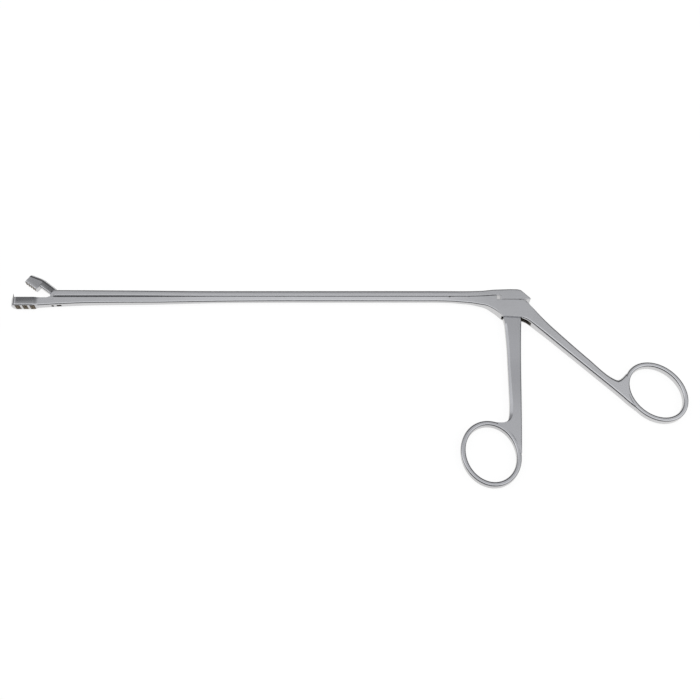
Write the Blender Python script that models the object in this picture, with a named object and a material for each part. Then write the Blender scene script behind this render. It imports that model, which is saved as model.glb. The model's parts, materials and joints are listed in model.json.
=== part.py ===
"""Uterine biopsy forceps, lying on one side, with its jaws open.

The axis of the front lever's pivot is the origin and the flat lower side of the body is z = 0.
The shaft runs along -X to the jaws, the handles reach to -Y, and +Z is up. All lengths are in metres.
"""
import math

import bmesh
import bpy
from mathutils import Matrix, Vector

# Clearances
RUNNING_GAP = 0.00012
PIN_GAP = 0.00008
SIDE_GAP = 0.00015
SLIDE_GAP = 0.00025             # between the bar and the shaft, along the joint line
CUT_OVER = 0.0020               # how far a cut runs past the surface it opens
LAP = 0.00004                   # how far a lapped piece stays under the surface it joins

# Body, with the lever's pivot at x = y = 0
BODY_HALF = 0.00325             # half the thickness of the body, across z
MID_Z = BODY_HALF               # the middle plane of the whole instrument
BODY_FRONT_X = -0.0380          # where the shaft starts to deepen into the body
BODY_FULL_X = -0.0050           # where the body has its full thickness
BODY_CORNER_X = -0.0019         # lower corner in front of the lever
BODY_CORNER_Y = -0.0058
MOUTH_REAR_X = 0.0078           # where the lever's mouth ends and the rear handle starts
MOUTH_REAR_Y = -0.0064
SEAT_Y = 0.00370                # seat of the bar's rear block
SEAT_STEP_X = -0.0046           # step up from that seat to the top of the shaft
SEAT_STEP_RUN = 0.00010
SEAT_REAR_X = 0.0084            # where the seat turns down into the rear handle
STOP_GAP = 0.00045              # left between the step and the bar's block when the jaws are shut

# Shaft and the joint line between it and the sliding bar
JOINT_Y = 0.00605
SHAFT_BOTTOM_Y = 0.0033
SHAFT_HALF = 0.0016
SHAFT_FRONT_BOTTOM_Y = 0.0012
SHAFT_FRONT_HALF = 0.0021
SHAFT_SLIM_X = -0.1500          # behind this the shaft has an even thickness
SHAFT_EVEN_X = -0.1100          # behind this it has an even depth too
SHAFT_EDGE = 0.0006             # rounding of the long lower edges
JOINT_EDGE = 0.00010            # rounding of the edges along the joint line

# Upper jaw's pivot, from which the front end is laid out
JAW_PIVOT_X = -0.2413
JAW_PIVOT_Y = 0.0044
JAW_OPEN_ANGLE = math.radians(36.5)
JAW_PIN_RADIUS = 0.00065
DRIVE_PIN_RADIUS = 0.00055

# Lower jaw, a basket open towards +Y
JAW_LENGTH = 0.0138
JAW_ROOT_X = JAW_PIVOT_X - 0.0079
JAW_TIP_X = JAW_ROOT_X - JAW_LENGTH
JAW_BLEND = 0.0022              # length over which the basket turns into the shaft
JAW_RIM_Y = 0.0053
JAW_BOTTOM_Y = 0.0003
JAW_RIM_HALF = 0.00275
JAW_BOTTOM_HALF = 0.0031
JAW_NOSE = 0.0031               # length of the rounded front
JAW_WALL = 0.00060
JAW_FLOOR = 0.00080
WINDOW_COUNT = 3
WINDOW_LENGTH = 0.00265
WINDOW_BRIDGE = 0.00130
WINDOW_HALF = 0.00240
WINDOW_SETBACK = 0.0024         # from the tip to the first window
SPIKE_HEIGHT = 0.0033
SPIKE_BASE = 0.0010
SPIKE_WIDTH = 0.0016
SPIKE_SETBACK = 0.00035
DRAIN_LENGTH = 0.0013           # drain under the slot of the jaw's tail
DRAIN_SETBACK = 0.00035         # from the pivot to the middle of that drain
STEP_FRONT_X = JAW_PIVOT_X - 0.0027   # the shaft steps up from the rim's height to the joint line
STEP_REAR_X = JAW_PIVOT_X - 0.0012

# Upper jaw, described as closed, from its pivot
HEAD_SETBACK = 0.00345          # from the basket's tip to the front of the head
HEAD_SIDE_GAP = 0.00025         # between the head and the basket's walls
HEAD_LENGTH = 0.0075
HEAD_RIM_BELOW = 0.00110        # rim below the pivot's height
HEAD_FRONT_HEIGHT = 0.0046      # back of the head above the pivot's height, at its front
HEAD_BACK_EDGE = 0.0016
HEAD_HEEL = 0.0009              # length over which the rim rises to the arm's underside
HEAD_WALL = 0.00055
HEAD_ROOF = 0.0011
ARM_BACK_HEIGHT = 0.0063
ARM_GAP = 0.000225              # between the shut arm and the top of the shaft
ARM_SHOULDER = 0.0031           # shoulder ahead of the pivot
ARM_SHOULDER_RAKE = 0.00065
TOOTH_PITCH = 0.00155
TOOTH_DEPTH = 0.00065
TOOTH_GAP_HALF = 0.00045
TOOTH_COUNT = 5
TOOTH_SETBACK = 0.00120
TAIL_HALF = 0.00070
TAIL_EYE_RADIUS = 0.0016
TAIL_HEAD_RADIUS = 0.00115
TAIL_GAP = 0.00017

# Sliding bar
BAR_TOP_Y = 0.0094
BAR_FRONT_TOP_Y = 0.0098
BAR_NOSE_X = JAW_PIVOT_X - 0.0005
BAR_NOSE_Y = 0.0079
BAR_NOSE_TOP_X = JAW_PIVOT_X + 0.0016
BAR_NOSE_BOTTOM_X = JAW_PIVOT_X + 0.0005
BAR_EDGE = 0.00055
BAR_WAIST = 0.00012             # the bar's top dips by this much in front of the body
BAR_CREST_X = 0.0032
BAR_CREST_Y = 0.0097
BAR_SHOULDER_X = 0.0085
BAR_SHOULDER_Y = 0.0091
BAR_BEAK_X = 0.0133
BAR_BEAK_Y = 0.0044
KEY_LENGTH = 0.0024
KEY_NECK_HALF = 0.00050
KEY_HEAD_HALF = 0.00095
KEY_NECK = 0.00080
KEY_HEAD = 0.00080
KEY_REST_X = (JAW_PIVOT_X + 0.0044, -0.1200, -0.0280)
RELIEF_LENGTH = 0.0010          # small cut in the joint line, in front of the rear key
RELIEF_DEPTH = 0.00045

# Front lever
LEVER_RANGE = math.radians(17.0)
LEVER_TOP_Y = -0.0070           # the flat arm ends here, and the tongue goes on into the body
NOSE_REACH = 0.0065             # pivot to the middle of the nose that drives the bar
NOSE_RADIUS = 0.0011
NECK_HALF = 0.00070
BOSS_RADIUS = 0.0026
LEVER_TONGUE_HALF = 0.0019
LEVER_LOW_HALF = 0.0023
LEVER_WIDE_TOP_X = 0.0080       # rear edge of the arm at its top
LEVER_NARROW_TOP_X = -0.00105   # front edge of the arm at its top
LEVER_THIN_Y = -0.0145          # the tongue keeps its thickness down to here
LEVER_PIN_RADIUS = 0.00125
LEVER_EDGE = 0.0009

# Finger rings, by the middle line of their band
FRONT_RING_X = -0.0110
FRONT_RING_Y = -0.0808
FRONT_RING_LONG = 0.0163
FRONT_RING_SHORT = 0.0139
FRONT_RING_TILT = math.radians(-72.0)
REAR_RING_X = 0.0758
REAR_RING_Y = -0.0478
REAR_RING_LONG = 0.0166
REAR_RING_SHORT = 0.0131
REAR_RING_TILT = math.radians(-47.0)
RING_BAND = 0.0026
RING_HALF = 0.0023
RING_EDGE = 0.0009
RING_STEPS = 72

# Rear handle
HANDLE_HALF = 0.00275
HANDLE_SLIM_X = 0.0240          # where the body's thickness has run out into the handle's
HANDLE_RING_HALF = 0.0025
HANDLE_EDGE = 0.0008

# The mechanism: the lever's nose swings evenly about the vertical, and so does the jaw's drive pin
NOSE_REST = LEVER_RANGE / 2
STROKE = 2 * NOSE_REACH * math.sin(NOSE_REST)
DRIVE_REST = JAW_OPEN_ANGLE / 2
DRIVE_REACH = STROKE / (2 * math.sin(DRIVE_REST))
NOSE_X = NOSE_REACH * math.sin(NOSE_REST)
NOSE_Y = NOSE_REACH * math.cos(NOSE_REST)
DRIVE_X = JAW_PIVOT_X + DRIVE_REACH * math.sin(DRIVE_REST)
DRIVE_Y = JAW_PIVOT_Y + DRIVE_REACH * math.cos(DRIVE_REST)
SHAFT_TOP_Y = JOINT_Y - SLIDE_GAP / 2
BAR_BOTTOM_Y = JOINT_Y + SLIDE_GAP / 2
BLOCK_FRONT_X = SEAT_STEP_X + SEAT_STEP_RUN + STROKE + STOP_GAP
BLOCK_BOTTOM_Y = SEAT_Y + SLIDE_GAP / 2
HEAD_HALF = JAW_RIM_HALF - JAW_WALL - HEAD_SIDE_GAP
HEAD_FRONT = JAW_PIVOT_X - JAW_TIP_X - HEAD_SETBACK
ARM_UNDER_HEIGHT = SHAFT_TOP_Y - JAW_PIVOT_Y + ARM_GAP

STEEL = ((0.575, 0.58, 0.60, 1.0), 0.24)
LEVER_STEEL = ((0.545, 0.55, 0.575, 1.0), 0.24)


def steel(name, finish):
    """A metal material in one of the finishes."""
    colour, roughness = finish
    material = bpy.data.materials.new(name)
    material.use_nodes = True
    shader = material.node_tree.nodes["Principled BSDF"]
    shader.inputs["Base Color"].default_value = colour
    shader.inputs["Metallic"].default_value = 1.0
    shader.inputs["Roughness"].default_value = roughness
    material.diffuse_color = colour
    return material


def add_object(name, mesh_data, finish=None):
    """Link the bmesh as a named object; without a finish it is a cutter or a piece of a union."""
    bmesh.ops.recalc_face_normals(mesh_data, faces=mesh_data.faces)
    mesh = bpy.data.meshes.new(name)
    mesh_data.to_mesh(mesh)
    mesh_data.free()
    thing = bpy.data.objects.new(name, mesh)
    bpy.context.collection.objects.link(thing)
    if finish is None:
        thing.hide_render = True
        thing.display_type = "WIRE"
    else:
        mesh.materials.append(steel(name + "_steel", finish))
        mesh.shade_smooth()
        mesh.set_sharp_from_angle(angle=math.radians(32))
    return thing


def combine(target, operation, *others):
    """Join other objects to the target, or cut them out of it, one after the other."""
    for other in others:
        modifier = target.modifiers.new(operation.lower() + "_" + other.name, "BOOLEAN")
        modifier.operation = operation
        modifier.solver = "EXACT"
        modifier.object = other


def arc(centre, radius, start, end, steps):
    """Points on a circle from one angle in degrees to another."""
    turns = [math.radians(start + (end - start) * k / steps) for k in range(steps + 1)]
    return [(centre[0] + radius * math.cos(a), centre[1] + radius * math.sin(a)) for a in turns]


def turned(point, angle):
    """A point turned about the lever's pivot."""
    return (point[0] * math.cos(angle) - point[1] * math.sin(angle),
            point[0] * math.sin(angle) + point[1] * math.cos(angle))


def prism(name, outline, half, finish=None, middle=MID_Z):
    """An outline in x and y, extruded across the middle plane."""
    data = bmesh.new()
    low = [data.verts.new((x, y, middle - half)) for x, y in outline]
    high = [data.verts.new((x, y, middle + half)) for x, y in outline]
    data.faces.new(low)
    data.faces.new(high)
    for k in range(len(outline)):
        following = (k + 1) % len(outline)
        data.faces.new((low[k], low[following], high[following], high[k]))
    return add_object(name, data, finish)


def block(name, x0, x1, y0, y1, half):
    """A box across the middle plane."""
    return prism(name, [(x0, y0), (x1, y0), (x1, y1), (x0, y1)], half)


def rod(name, x, y, radius, z0, z1, finish=None, steps=28):
    """A round bar along z."""
    outline = arc((x, y), radius, 0, 360 * (steps - 1) / steps, steps - 1)
    return prism(name, outline, (z1 - z0) / 2, finish, (z0 + z1) / 2)


def loft(name, rings, finish=None):
    """Closed rings of equally many points, joined one to the next and closed by a face at each end."""
    data = bmesh.new()
    rows = [[data.verts.new(point) for point in ring] for ring in rings]
    count = len(rows[0])
    for row, following in zip(rows, rows[1:]):
        for k in range(count):
            after = (k + 1) % count
            data.faces.new((row[k], row[after], following[after], following[k]))
    data.faces.new(rows[0])
    data.faces.new(rows[-1])
    return add_object(name, data, finish)


def rounded_section(low, high, half_low, half_high, edge_low, edge_high, steps=3):
    """Corners of a bar's section as (along, across), rounded; the two sides may lean."""
    corners = [(low, -half_low, edge_low, 180), (high, -half_high, edge_high, 270),
               (high, half_high, edge_high, 0), (low, half_low, edge_low, 90)]
    points = []
    for along, across, radius, start in corners:
        inward_along = radius if along == low else -radius
        inward_across = radius if across < 0 else -radius
        centre = (along + inward_along, across + inward_across)
        points += arc(centre, radius, start, start + 90, steps)
    return points


def upright(x, section):
    """A section of (y, across) points stood up across the middle plane at this x."""
    return [(x, y, MID_Z + z) for y, z in section]


def smooth_value(knots, at):
    """A smooth curve through the knots that never overshoots them, straight where they are in line."""
    if at <= knots[0][0]:
        return knots[0][1]
    if at >= knots[-1][0]:
        return knots[-1][1]
    steps = [(b[1] - a[1]) / (b[0] - a[0]) for a, b in zip(knots, knots[1:])]
    slopes = [steps[0]]
    for before, after in zip(steps, steps[1:]):
        same_way = before * after > 0
        slopes.append(2 * before * after / (before + after) if same_way else 0.0)
    slopes.append(steps[-1])
    k = max(i for i, knot in enumerate(knots[:-1]) if at >= knot[0])
    span = knots[k + 1][0] - knots[k][0]
    t = (at - knots[k][0]) / span
    rise = knots[k + 1][1] - knots[k][1]
    ease = t * t * (3 - 2 * t)
    return (knots[k][1] + ease * rise
            + span * t * (1 - t) * ((1 - t) * slopes[k] - t * slopes[k + 1]))


def curve_value(curves, at):
    """The value of the curve that covers this place, out of a list that meet at corners."""
    for knots in curves[:-1]:
        if at <= knots[-1][0]:
            return smooth_value(knots, at)
    return smooth_value(curves[-1], at)


def stations(curves, spacing):
    """Every knot's place, with steps of at most the spacing between them where the curves bend."""
    places = sorted({knot[0] for curve in curves for knot in curve})
    result = [places[0]]
    for place in places[1:]:
        start = result[-1]
        count = min(8, max(1, math.ceil((place - start) / spacing)))
        result += [start + (place - start) * k / count for k in range(1, count + 1)]
    return result


def between(start, end, shares):
    """Knots on the way from one knot to another, by their shares of the way along and across."""
    return [(start[0] + along * (end[0] - start[0]), start[1] + across * (end[1] - start[1]))
            for along, across in shares]


def around(x, y, offsets):
    """Knots by their offsets from a place, such as the middle of a finger ring."""
    return [(x + dx, y + dy) for dx, dy in offsets]


def finger_ring(name, x, y, long_half, short_half, tilt):
    """A band with rounded edges carried round an ellipse, as a closed loop."""
    section = rounded_section(-RING_BAND / 2, RING_BAND / 2, RING_HALF, RING_HALF, RING_EDGE, RING_EDGE)
    data = bmesh.new()
    rows = []
    for k in range(RING_STEPS):
        turn = 2 * math.pi * k / RING_STEPS
        point = Vector((long_half * math.cos(turn), short_half * math.sin(turn)))
        outward = Vector((short_half * math.cos(turn), long_half * math.sin(turn))).normalized()
        row = []
        for along, across in section:
            flat = point + outward * along
            flat.rotate(Matrix.Rotation(tilt, 2))
            row.append(data.verts.new((x + flat.x, y + flat.y, MID_Z + across)))
        rows.append(row)
    count = len(section)
    for k in range(RING_STEPS):
        row, following = rows[k], rows[(k + 1) % RING_STEPS]
        for j in range(count):
            after = (j + 1) % count
            data.faces.new((row[j], row[after], following[after], following[j]))
    return add_object(name, data)


# The shaft, the body and the rear handle share these curves, and the sliding bar their thickness.
# The handle's end is laid out from the middle of its ring.
HANDLE_END_X = REAR_RING_X - 0.0113
THICKNESS = [[(JAW_ROOT_X, SHAFT_FRONT_HALF), (JAW_PIVOT_X + 0.0313, SHAFT_FRONT_HALF),
              (SHAFT_SLIM_X, SHAFT_HALF), (BODY_FRONT_X, SHAFT_HALF),
              (BODY_FULL_X - 0.0150, SHAFT_HALF + 0.0001), (BODY_FULL_X - 0.0080, SHAFT_HALF + 0.0005),
              (BODY_FULL_X, BODY_HALF), (SEAT_REAR_X + 0.004, BODY_HALF), (HANDLE_SLIM_X, HANDLE_HALF),
              (HANDLE_END_X, HANDLE_RING_HALF)]]
FRONT_SWEEP = ((0.14, 0.38), (0.27, 0.48), (0.39, 0.53), (0.51, 0.67), (0.69, 0.90))
BELLY = ((0.25, 0.020), (0.38, 0.065), (0.53, 0.120), (0.67, 0.230), (0.745, 0.300), (0.79, 0.375),
         (0.84, 0.500), (0.895, 0.650))
SHAFT_FRONT = (JAW_PIVOT_X + 0.0013, SHAFT_FRONT_BOTTOM_Y)
SHAFT_EVEN = (SHAFT_EVEN_X, SHAFT_BOTTOM_Y)
BELLY_START = (BODY_FRONT_X, SHAFT_BOTTOM_Y)
BODY_CORNER = (BODY_CORNER_X, BODY_CORNER_Y)
MOUTH_REAR = (MOUTH_REAR_X, MOUTH_REAR_Y)
LOWER_EDGE = [
    [(JAW_ROOT_X, JAW_BOTTOM_Y + 0.0003), SHAFT_FRONT, *between(SHAFT_FRONT, SHAFT_EVEN, FRONT_SWEEP),
     SHAFT_EVEN, BELLY_START, *between(BELLY_START, BODY_CORNER, BELLY), BODY_CORNER],
    [BODY_CORNER, MOUTH_REAR],
    [MOUTH_REAR, *around(MOUTH_REAR_X, MOUTH_REAR_Y, ((0.0029, -0.0014), (0.0094, -0.0070),
                                                      (0.0195, -0.0163))),
     *around(REAR_RING_X, REAR_RING_Y, ((-0.0335, 0.0113), (-0.0182, -0.0029), (-0.0148, -0.0063),
                                        (-0.0113, -0.0092)))]]
UPPER_EDGE = [
    [(JAW_ROOT_X, JAW_RIM_Y), (STEP_FRONT_X, JAW_RIM_Y), (STEP_REAR_X, SHAFT_TOP_Y),
     (SEAT_STEP_X, SHAFT_TOP_Y)],
    [(SEAT_STEP_X + SEAT_STEP_RUN, SEAT_Y), (SEAT_REAR_X, SEAT_Y - 0.0001),
     *around(SEAT_REAR_X, SEAT_Y, ((0.0021, -0.0008), (0.0035, -0.0019), (0.0047, -0.0035),
                                   (0.0064, -0.0053), (0.0094, -0.0087), (0.0173, -0.0169))),
     *around(REAR_RING_X, REAR_RING_Y, ((-0.0344, 0.0190), (-0.0205, 0.0059)))],
    around(REAR_RING_X, REAR_RING_Y, ((-0.0205, 0.0059), (-0.0187, 0.0066), (-0.0148, 0.0098))),
    around(REAR_RING_X, REAR_RING_Y, ((-0.0145, -0.0002), (-0.0133, -0.0037), (-0.0113, -0.0072)))]
LOWER_ROUNDING = [[(JAW_ROOT_X, SHAFT_EDGE), (MOUTH_REAR_X, SHAFT_EDGE), (HANDLE_SLIM_X, HANDLE_EDGE),
                   (HANDLE_END_X, HANDLE_EDGE)]]
UPPER_ROUNDING = [[(JAW_ROOT_X, JOINT_EDGE), (SEAT_REAR_X, JOINT_EDGE), (HANDLE_SLIM_X, HANDLE_EDGE),
                   (HANDLE_END_X, HANDLE_EDGE)]]


def lower_jaw():
    """The basket: a rounded front, walls that lean in towards the rim, and a root lapped by the shaft."""
    nose_steps = 10
    blunt = 0.8                 # the first section isn't a point, so that the front stays closed
    lift = 0.0009               # how far the bottom rises at the very front
    rings = []
    for k in range(nose_steps + 1):
        x = JAW_TIP_X + JAW_NOSE * (1 - math.cos(math.pi / 2 * k / nose_steps))
        share = math.sin(math.pi / 2 * max(k, blunt) / nose_steps)
        low = JAW_BOTTOM_Y + lift * (1 - share) ** 1.5
        rings.append(upright(x, rounded_section(low, JAW_RIM_Y, JAW_BOTTOM_HALF * share,
                                                JAW_RIM_HALF * share, SHAFT_EDGE, JOINT_EDGE)))
    blend_steps = 6
    root_overlap = 0.0012
    for k in range(blend_steps + 1):
        t = k / blend_steps
        ease = t * t * (3 - 2 * t)
        x = JAW_ROOT_X - JAW_BLEND + t * (JAW_BLEND + root_overlap)
        low = JAW_BOTTOM_Y + ease * (curve_value(LOWER_EDGE, JAW_ROOT_X + root_overlap) + LAP - JAW_BOTTOM_Y)
        half_low = JAW_BOTTOM_HALF + ease * (SHAFT_FRONT_HALF - LAP - JAW_BOTTOM_HALF)
        half_high = JAW_RIM_HALF + ease * (SHAFT_FRONT_HALF - LAP - JAW_RIM_HALF)
        rings.append(upright(x, rounded_section(low, JAW_RIM_Y - LAP * ease, half_low, half_high,
                                                SHAFT_EDGE, JOINT_EDGE)))
    return loft("lower_jaw_form", rings)


def jaw_cavity():
    """The hollow of the basket, with the same rounded front inside its walls."""
    floor = JAW_BOTTOM_Y + JAW_FLOOR
    top = JAW_RIM_Y + CUT_OVER
    lean = (JAW_BOTTOM_HALF - JAW_RIM_HALF) / (JAW_RIM_Y - JAW_BOTTOM_Y)
    low_half = JAW_BOTTOM_HALF - JAW_WALL - lean * JAW_FLOOR
    high_half = JAW_RIM_HALF - JAW_WALL - lean * CUT_OVER
    front = JAW_TIP_X + JAW_WALL + 0.0002
    floor_edge = 0.0003
    steps = 8
    blunt = 1.2
    rings = []
    for k in range(steps + 1):
        x = front + (JAW_NOSE - JAW_WALL) * (1 - math.cos(math.pi / 2 * k / steps))
        share = math.sin(math.pi / 2 * max(k, blunt) / steps)
        rings.append(upright(x, rounded_section(floor, top, low_half * share, high_half * share,
                                                floor_edge, JOINT_EDGE)))
    rings.append(upright(JAW_ROOT_X - floor_edge,
                         rounded_section(floor, top, low_half, high_half, floor_edge, JOINT_EDGE)))
    return loft("jaw_cavity_cut", rings)


def spike():
    """The single tooth that stands up from the front of the basket."""
    root = JAW_FLOOR + 0.0004   # how far the spike reaches down into the front wall
    base_y = JAW_RIM_Y - root
    rise = root + SPIKE_HEIGHT
    rings = []
    for share in (1.0, 0.6, 0.08):
        y = base_y + rise * (1 - share)
        front = JAW_TIP_X + SPIKE_SETBACK + SPIKE_BASE * 0.15 * (1 - share)
        half = SPIKE_WIDTH / 2 * share
        rings.append([(front, y, MID_Z - half), (front + SPIKE_BASE * share, y, MID_Z - half),
                      (front + SPIKE_BASE * share, y, MID_Z + half), (front, y, MID_Z + half)])
    return loft("spike_form", rings)


def key_groove(rest_x, number):
    """The T-shaped groove in which one key of the bar slides, open at the joint line."""
    front = rest_x - STROKE - RUNNING_GAP
    rear = rest_x + KEY_LENGTH + RUNNING_GAP
    key_bottom = JOINT_Y - KEY_NECK - KEY_HEAD
    neck = block(f"groove_neck_{number}_cut", front, rear, key_bottom, SHAFT_TOP_Y + CUT_OVER,
                 KEY_NECK_HALF + SIDE_GAP)
    head = block(f"groove_head_{number}_cut", front, rear, key_bottom - RUNNING_GAP,
                 JOINT_Y - KEY_NECK + RUNNING_GAP, KEY_HEAD_HALF + SIDE_GAP)
    return neck, head


def jaw_cuts():
    """The basket's windows, the slot for the jaw's tail with its drain, and the jaw's pin hole."""
    cuts = []
    for k in range(WINDOW_COUNT):
        x = JAW_TIP_X + WINDOW_SETBACK + (WINDOW_LENGTH + WINDOW_BRIDGE) * k
        cuts.append(block(f"window_{k + 1}_cut", x, x + WINDOW_LENGTH, JAW_BOTTOM_Y - CUT_OVER,
                          JAW_BOTTOM_Y + JAW_FLOOR + SLIDE_GAP, WINDOW_HALF))
    slot_front = JAW_PIVOT_X - ARM_SHOULDER - TAIL_GAP * 2
    slot_rear = JAW_PIVOT_X + TAIL_EYE_RADIUS + TAIL_GAP * 2
    slot_floor = JAW_PIVOT_Y - TAIL_EYE_RADIUS - TAIL_GAP
    cuts.append(block("jaw_slot_cut", slot_front, slot_rear, slot_floor, SHAFT_TOP_Y + CUT_OVER,
                      TAIL_HALF + TAIL_GAP))
    drain_half = TAIL_HALF + TAIL_GAP
    cuts.append(block("slot_drain_cut", JAW_PIVOT_X + DRAIN_SETBACK - DRAIN_LENGTH / 2,
                      JAW_PIVOT_X + DRAIN_SETBACK + DRAIN_LENGTH / 2, JAW_BOTTOM_Y - CUT_OVER,
                      slot_floor + SLIDE_GAP, drain_half))
    cuts.append(block("key_drain_cut", KEY_REST_X[0] - STROKE, KEY_REST_X[0] + DRAIN_SETBACK * 2,
                      JAW_BOTTOM_Y - CUT_OVER, JOINT_Y - KEY_NECK - KEY_HEAD, drain_half))
    cuts.append(rod("jaw_pin_hole_cut", JAW_PIVOT_X, JAW_PIVOT_Y, JAW_PIN_RADIUS + PIN_GAP, -CUT_OVER,
                    2 * MID_Z + CUT_OVER))
    return cuts


def lever_mortise():
    """The slot through the body that takes the lever's tongue, in every place it swings to."""
    opening = BOSS_RADIUS + RUNNING_GAP * 2
    swing = LEVER_RANGE + math.radians(3)
    mouth_front = BODY_CORNER_X - 0.0004
    lip_y = (BODY_CORNER_Y + MOUTH_REAR_Y) / 2 - CUT_OVER * 5
    rear = turned((LEVER_WIDE_TOP_X + RUNNING_GAP * 3, MOUTH_REAR_Y * 0.62), swing)
    rear_low = MOUTH_REAR_X + 0.0060
    outline = [(mouth_front, lip_y), (rear_low, lip_y), (rear_low, MOUTH_REAR_Y - 0.0048), rear]
    outline += arc((0, 0), opening, 20, 60, 4)
    outline += [(opening / 2, SEAT_Y + CUT_OVER), (-opening / 2, SEAT_Y + CUT_OVER)]
    outline += arc((0, 0), opening, 120, 200, 7)
    outline += [(mouth_front - 0.0004, BODY_CORNER_Y / 2), (mouth_front, BODY_CORNER_Y)]
    return prism("lever_mortise_cut", outline, LEVER_TONGUE_HALF + SIDE_GAP)


def make_fixed_frame():
    """The forging: lower jaw, shaft, body, rear handle and rear ring in one piece."""
    rings = []
    for x in stations(LOWER_EDGE + UPPER_EDGE + THICKNESS, 0.0025):
        half = curve_value(THICKNESS, x)
        rings.append(upright(x, rounded_section(curve_value(LOWER_EDGE, x), curve_value(UPPER_EDGE, x),
                                                half, half, curve_value(LOWER_ROUNDING, x),
                                                curve_value(UPPER_ROUNDING, x))))
    frame = loft("fixed_frame", rings, STEEL)
    ring = finger_ring("rear_ring_form", REAR_RING_X, REAR_RING_Y, REAR_RING_LONG, REAR_RING_SHORT,
                       REAR_RING_TILT)
    combine(frame, "UNION", ring, lower_jaw(), spike())
    grooves = [cut for number, x in enumerate(KEY_REST_X, 1) for cut in key_groove(x, number)]
    relief_x = KEY_REST_X[-1] - STROKE - RUNNING_GAP
    relief = block("relief_cut", relief_x, relief_x + RELIEF_LENGTH, SHAFT_TOP_Y - RELIEF_DEPTH,
                   SHAFT_TOP_Y + CUT_OVER, BODY_HALF)
    pivot_hole = rod("pivot_hole_cut", 0, 0, LEVER_PIN_RADIUS + PIN_GAP, -CUT_OVER, 2 * MID_Z + CUT_OVER)
    combine(frame, "DIFFERENCE", jaw_cavity(), *jaw_cuts(), *grooves, relief, lever_mortise(), pivot_hole)


def make_sliding_bar():
    """The bar, its nose and fork in front, its keys below, and the deep rear block."""
    top = [[(BAR_NOSE_TOP_X, BAR_FRONT_TOP_Y), (SHAFT_SLIM_X, BAR_TOP_Y), (BODY_FRONT_X, BAR_TOP_Y),
            (BODY_FULL_X - 0.0148, BAR_TOP_Y - BAR_WAIST), (BODY_FULL_X - 0.0084, BAR_TOP_Y - BAR_WAIST),
            (BODY_FULL_X + 0.0012, BAR_TOP_Y + BAR_WAIST), (BAR_CREST_X, BAR_CREST_Y),
            (BAR_SHOULDER_X - 0.0019, BAR_CREST_Y - 0.00008), (BAR_SHOULDER_X, BAR_SHOULDER_Y)],
           [(BAR_SHOULDER_X, BAR_SHOULDER_Y), (BAR_BEAK_X, BAR_BEAK_Y)]]
    bottom = [[(BAR_NOSE_TOP_X, BAR_BOTTOM_Y), (BLOCK_FRONT_X - SEAT_STEP_RUN, BAR_BOTTOM_Y)],
              [(BLOCK_FRONT_X, BLOCK_BOTTOM_Y), (BAR_BEAK_X, BLOCK_BOTTOM_Y)]]
    edge_top = [[(BAR_NOSE_TOP_X, BAR_EDGE), (BODY_FRONT_X, BAR_EDGE), (BODY_FULL_X, BAR_EDGE * 0.7),
                 (BAR_SHOULDER_X, BAR_EDGE * 0.5), (BAR_BEAK_X, JOINT_EDGE)]]
    rings = []
    rise = (BAR_FRONT_TOP_Y - BAR_NOSE_Y) / (BAR_NOSE_TOP_X - BAR_NOSE_X)
    lip = JOINT_EDGE * 2
    nose = [(BAR_NOSE_X, BAR_NOSE_Y - lip, BAR_NOSE_Y + lip),
            (BAR_NOSE_BOTTOM_X, BAR_BOTTOM_Y, BAR_NOSE_Y + rise * (BAR_NOSE_BOTTOM_X - BAR_NOSE_X))]
    for x, low, high in nose:
        rings.append(upright(x, rounded_section(low, high, SHAFT_FRONT_HALF, SHAFT_FRONT_HALF,
                                                JOINT_EDGE, JOINT_EDGE)))
    for x in stations(top + bottom + THICKNESS, 0.0025):
        if BAR_NOSE_TOP_X <= x <= BAR_BEAK_X:
            half = curve_value(THICKNESS, x)
            rings.append(upright(x, rounded_section(curve_value(bottom, x), curve_value(top, x), half,
                                                    half, JOINT_EDGE, curve_value(edge_top, x))))
    bar = loft("sliding_bar", rings, STEEL)
    keys = []
    for number, x in enumerate(KEY_REST_X, 1):
        keys.append(block(f"key_neck_{number}_form", x, x + KEY_LENGTH, JOINT_Y - KEY_NECK - SLIDE_GAP,
                          BAR_BOTTOM_Y + SHAFT_EDGE, KEY_NECK_HALF))
        keys.append(block(f"key_head_{number}_form", x, x + KEY_LENGTH, JOINT_Y - KEY_NECK - KEY_HEAD,
                          JOINT_Y - KEY_NECK, KEY_HEAD_HALF))
    fork = block("fork_cut", BAR_NOSE_X - CUT_OVER, DRIVE_X + TAIL_HEAD_RADIUS + STROKE,
                 BAR_BOTTOM_Y - CUT_OVER, JAW_PIVOT_Y + DRIVE_REACH + TAIL_HEAD_RADIUS + TAIL_GAP * 2,
                 TAIL_HALF + TAIL_GAP)
    drive_hole = rod("drive_hole_cut", DRIVE_X, DRIVE_Y, DRIVE_PIN_RADIUS + PIN_GAP, -CUT_OVER,
                     2 * MID_Z + CUT_OVER)
    half = NOSE_RADIUS + RUNNING_GAP
    nose_slot = prism("nose_slot_cut",
                      [(NOSE_X - half, BLOCK_BOTTOM_Y - CUT_OVER), (NOSE_X + half, BLOCK_BOTTOM_Y - CUT_OVER)]
                      + arc((NOSE_X, NOSE_Y + RUNNING_GAP), half, 0, 180, 12), LEVER_TONGUE_HALF + SIDE_GAP)
    combine(bar, "UNION", *keys)
    combine(bar, "DIFFERENCE", fork, drive_hole, nose_slot)


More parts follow.
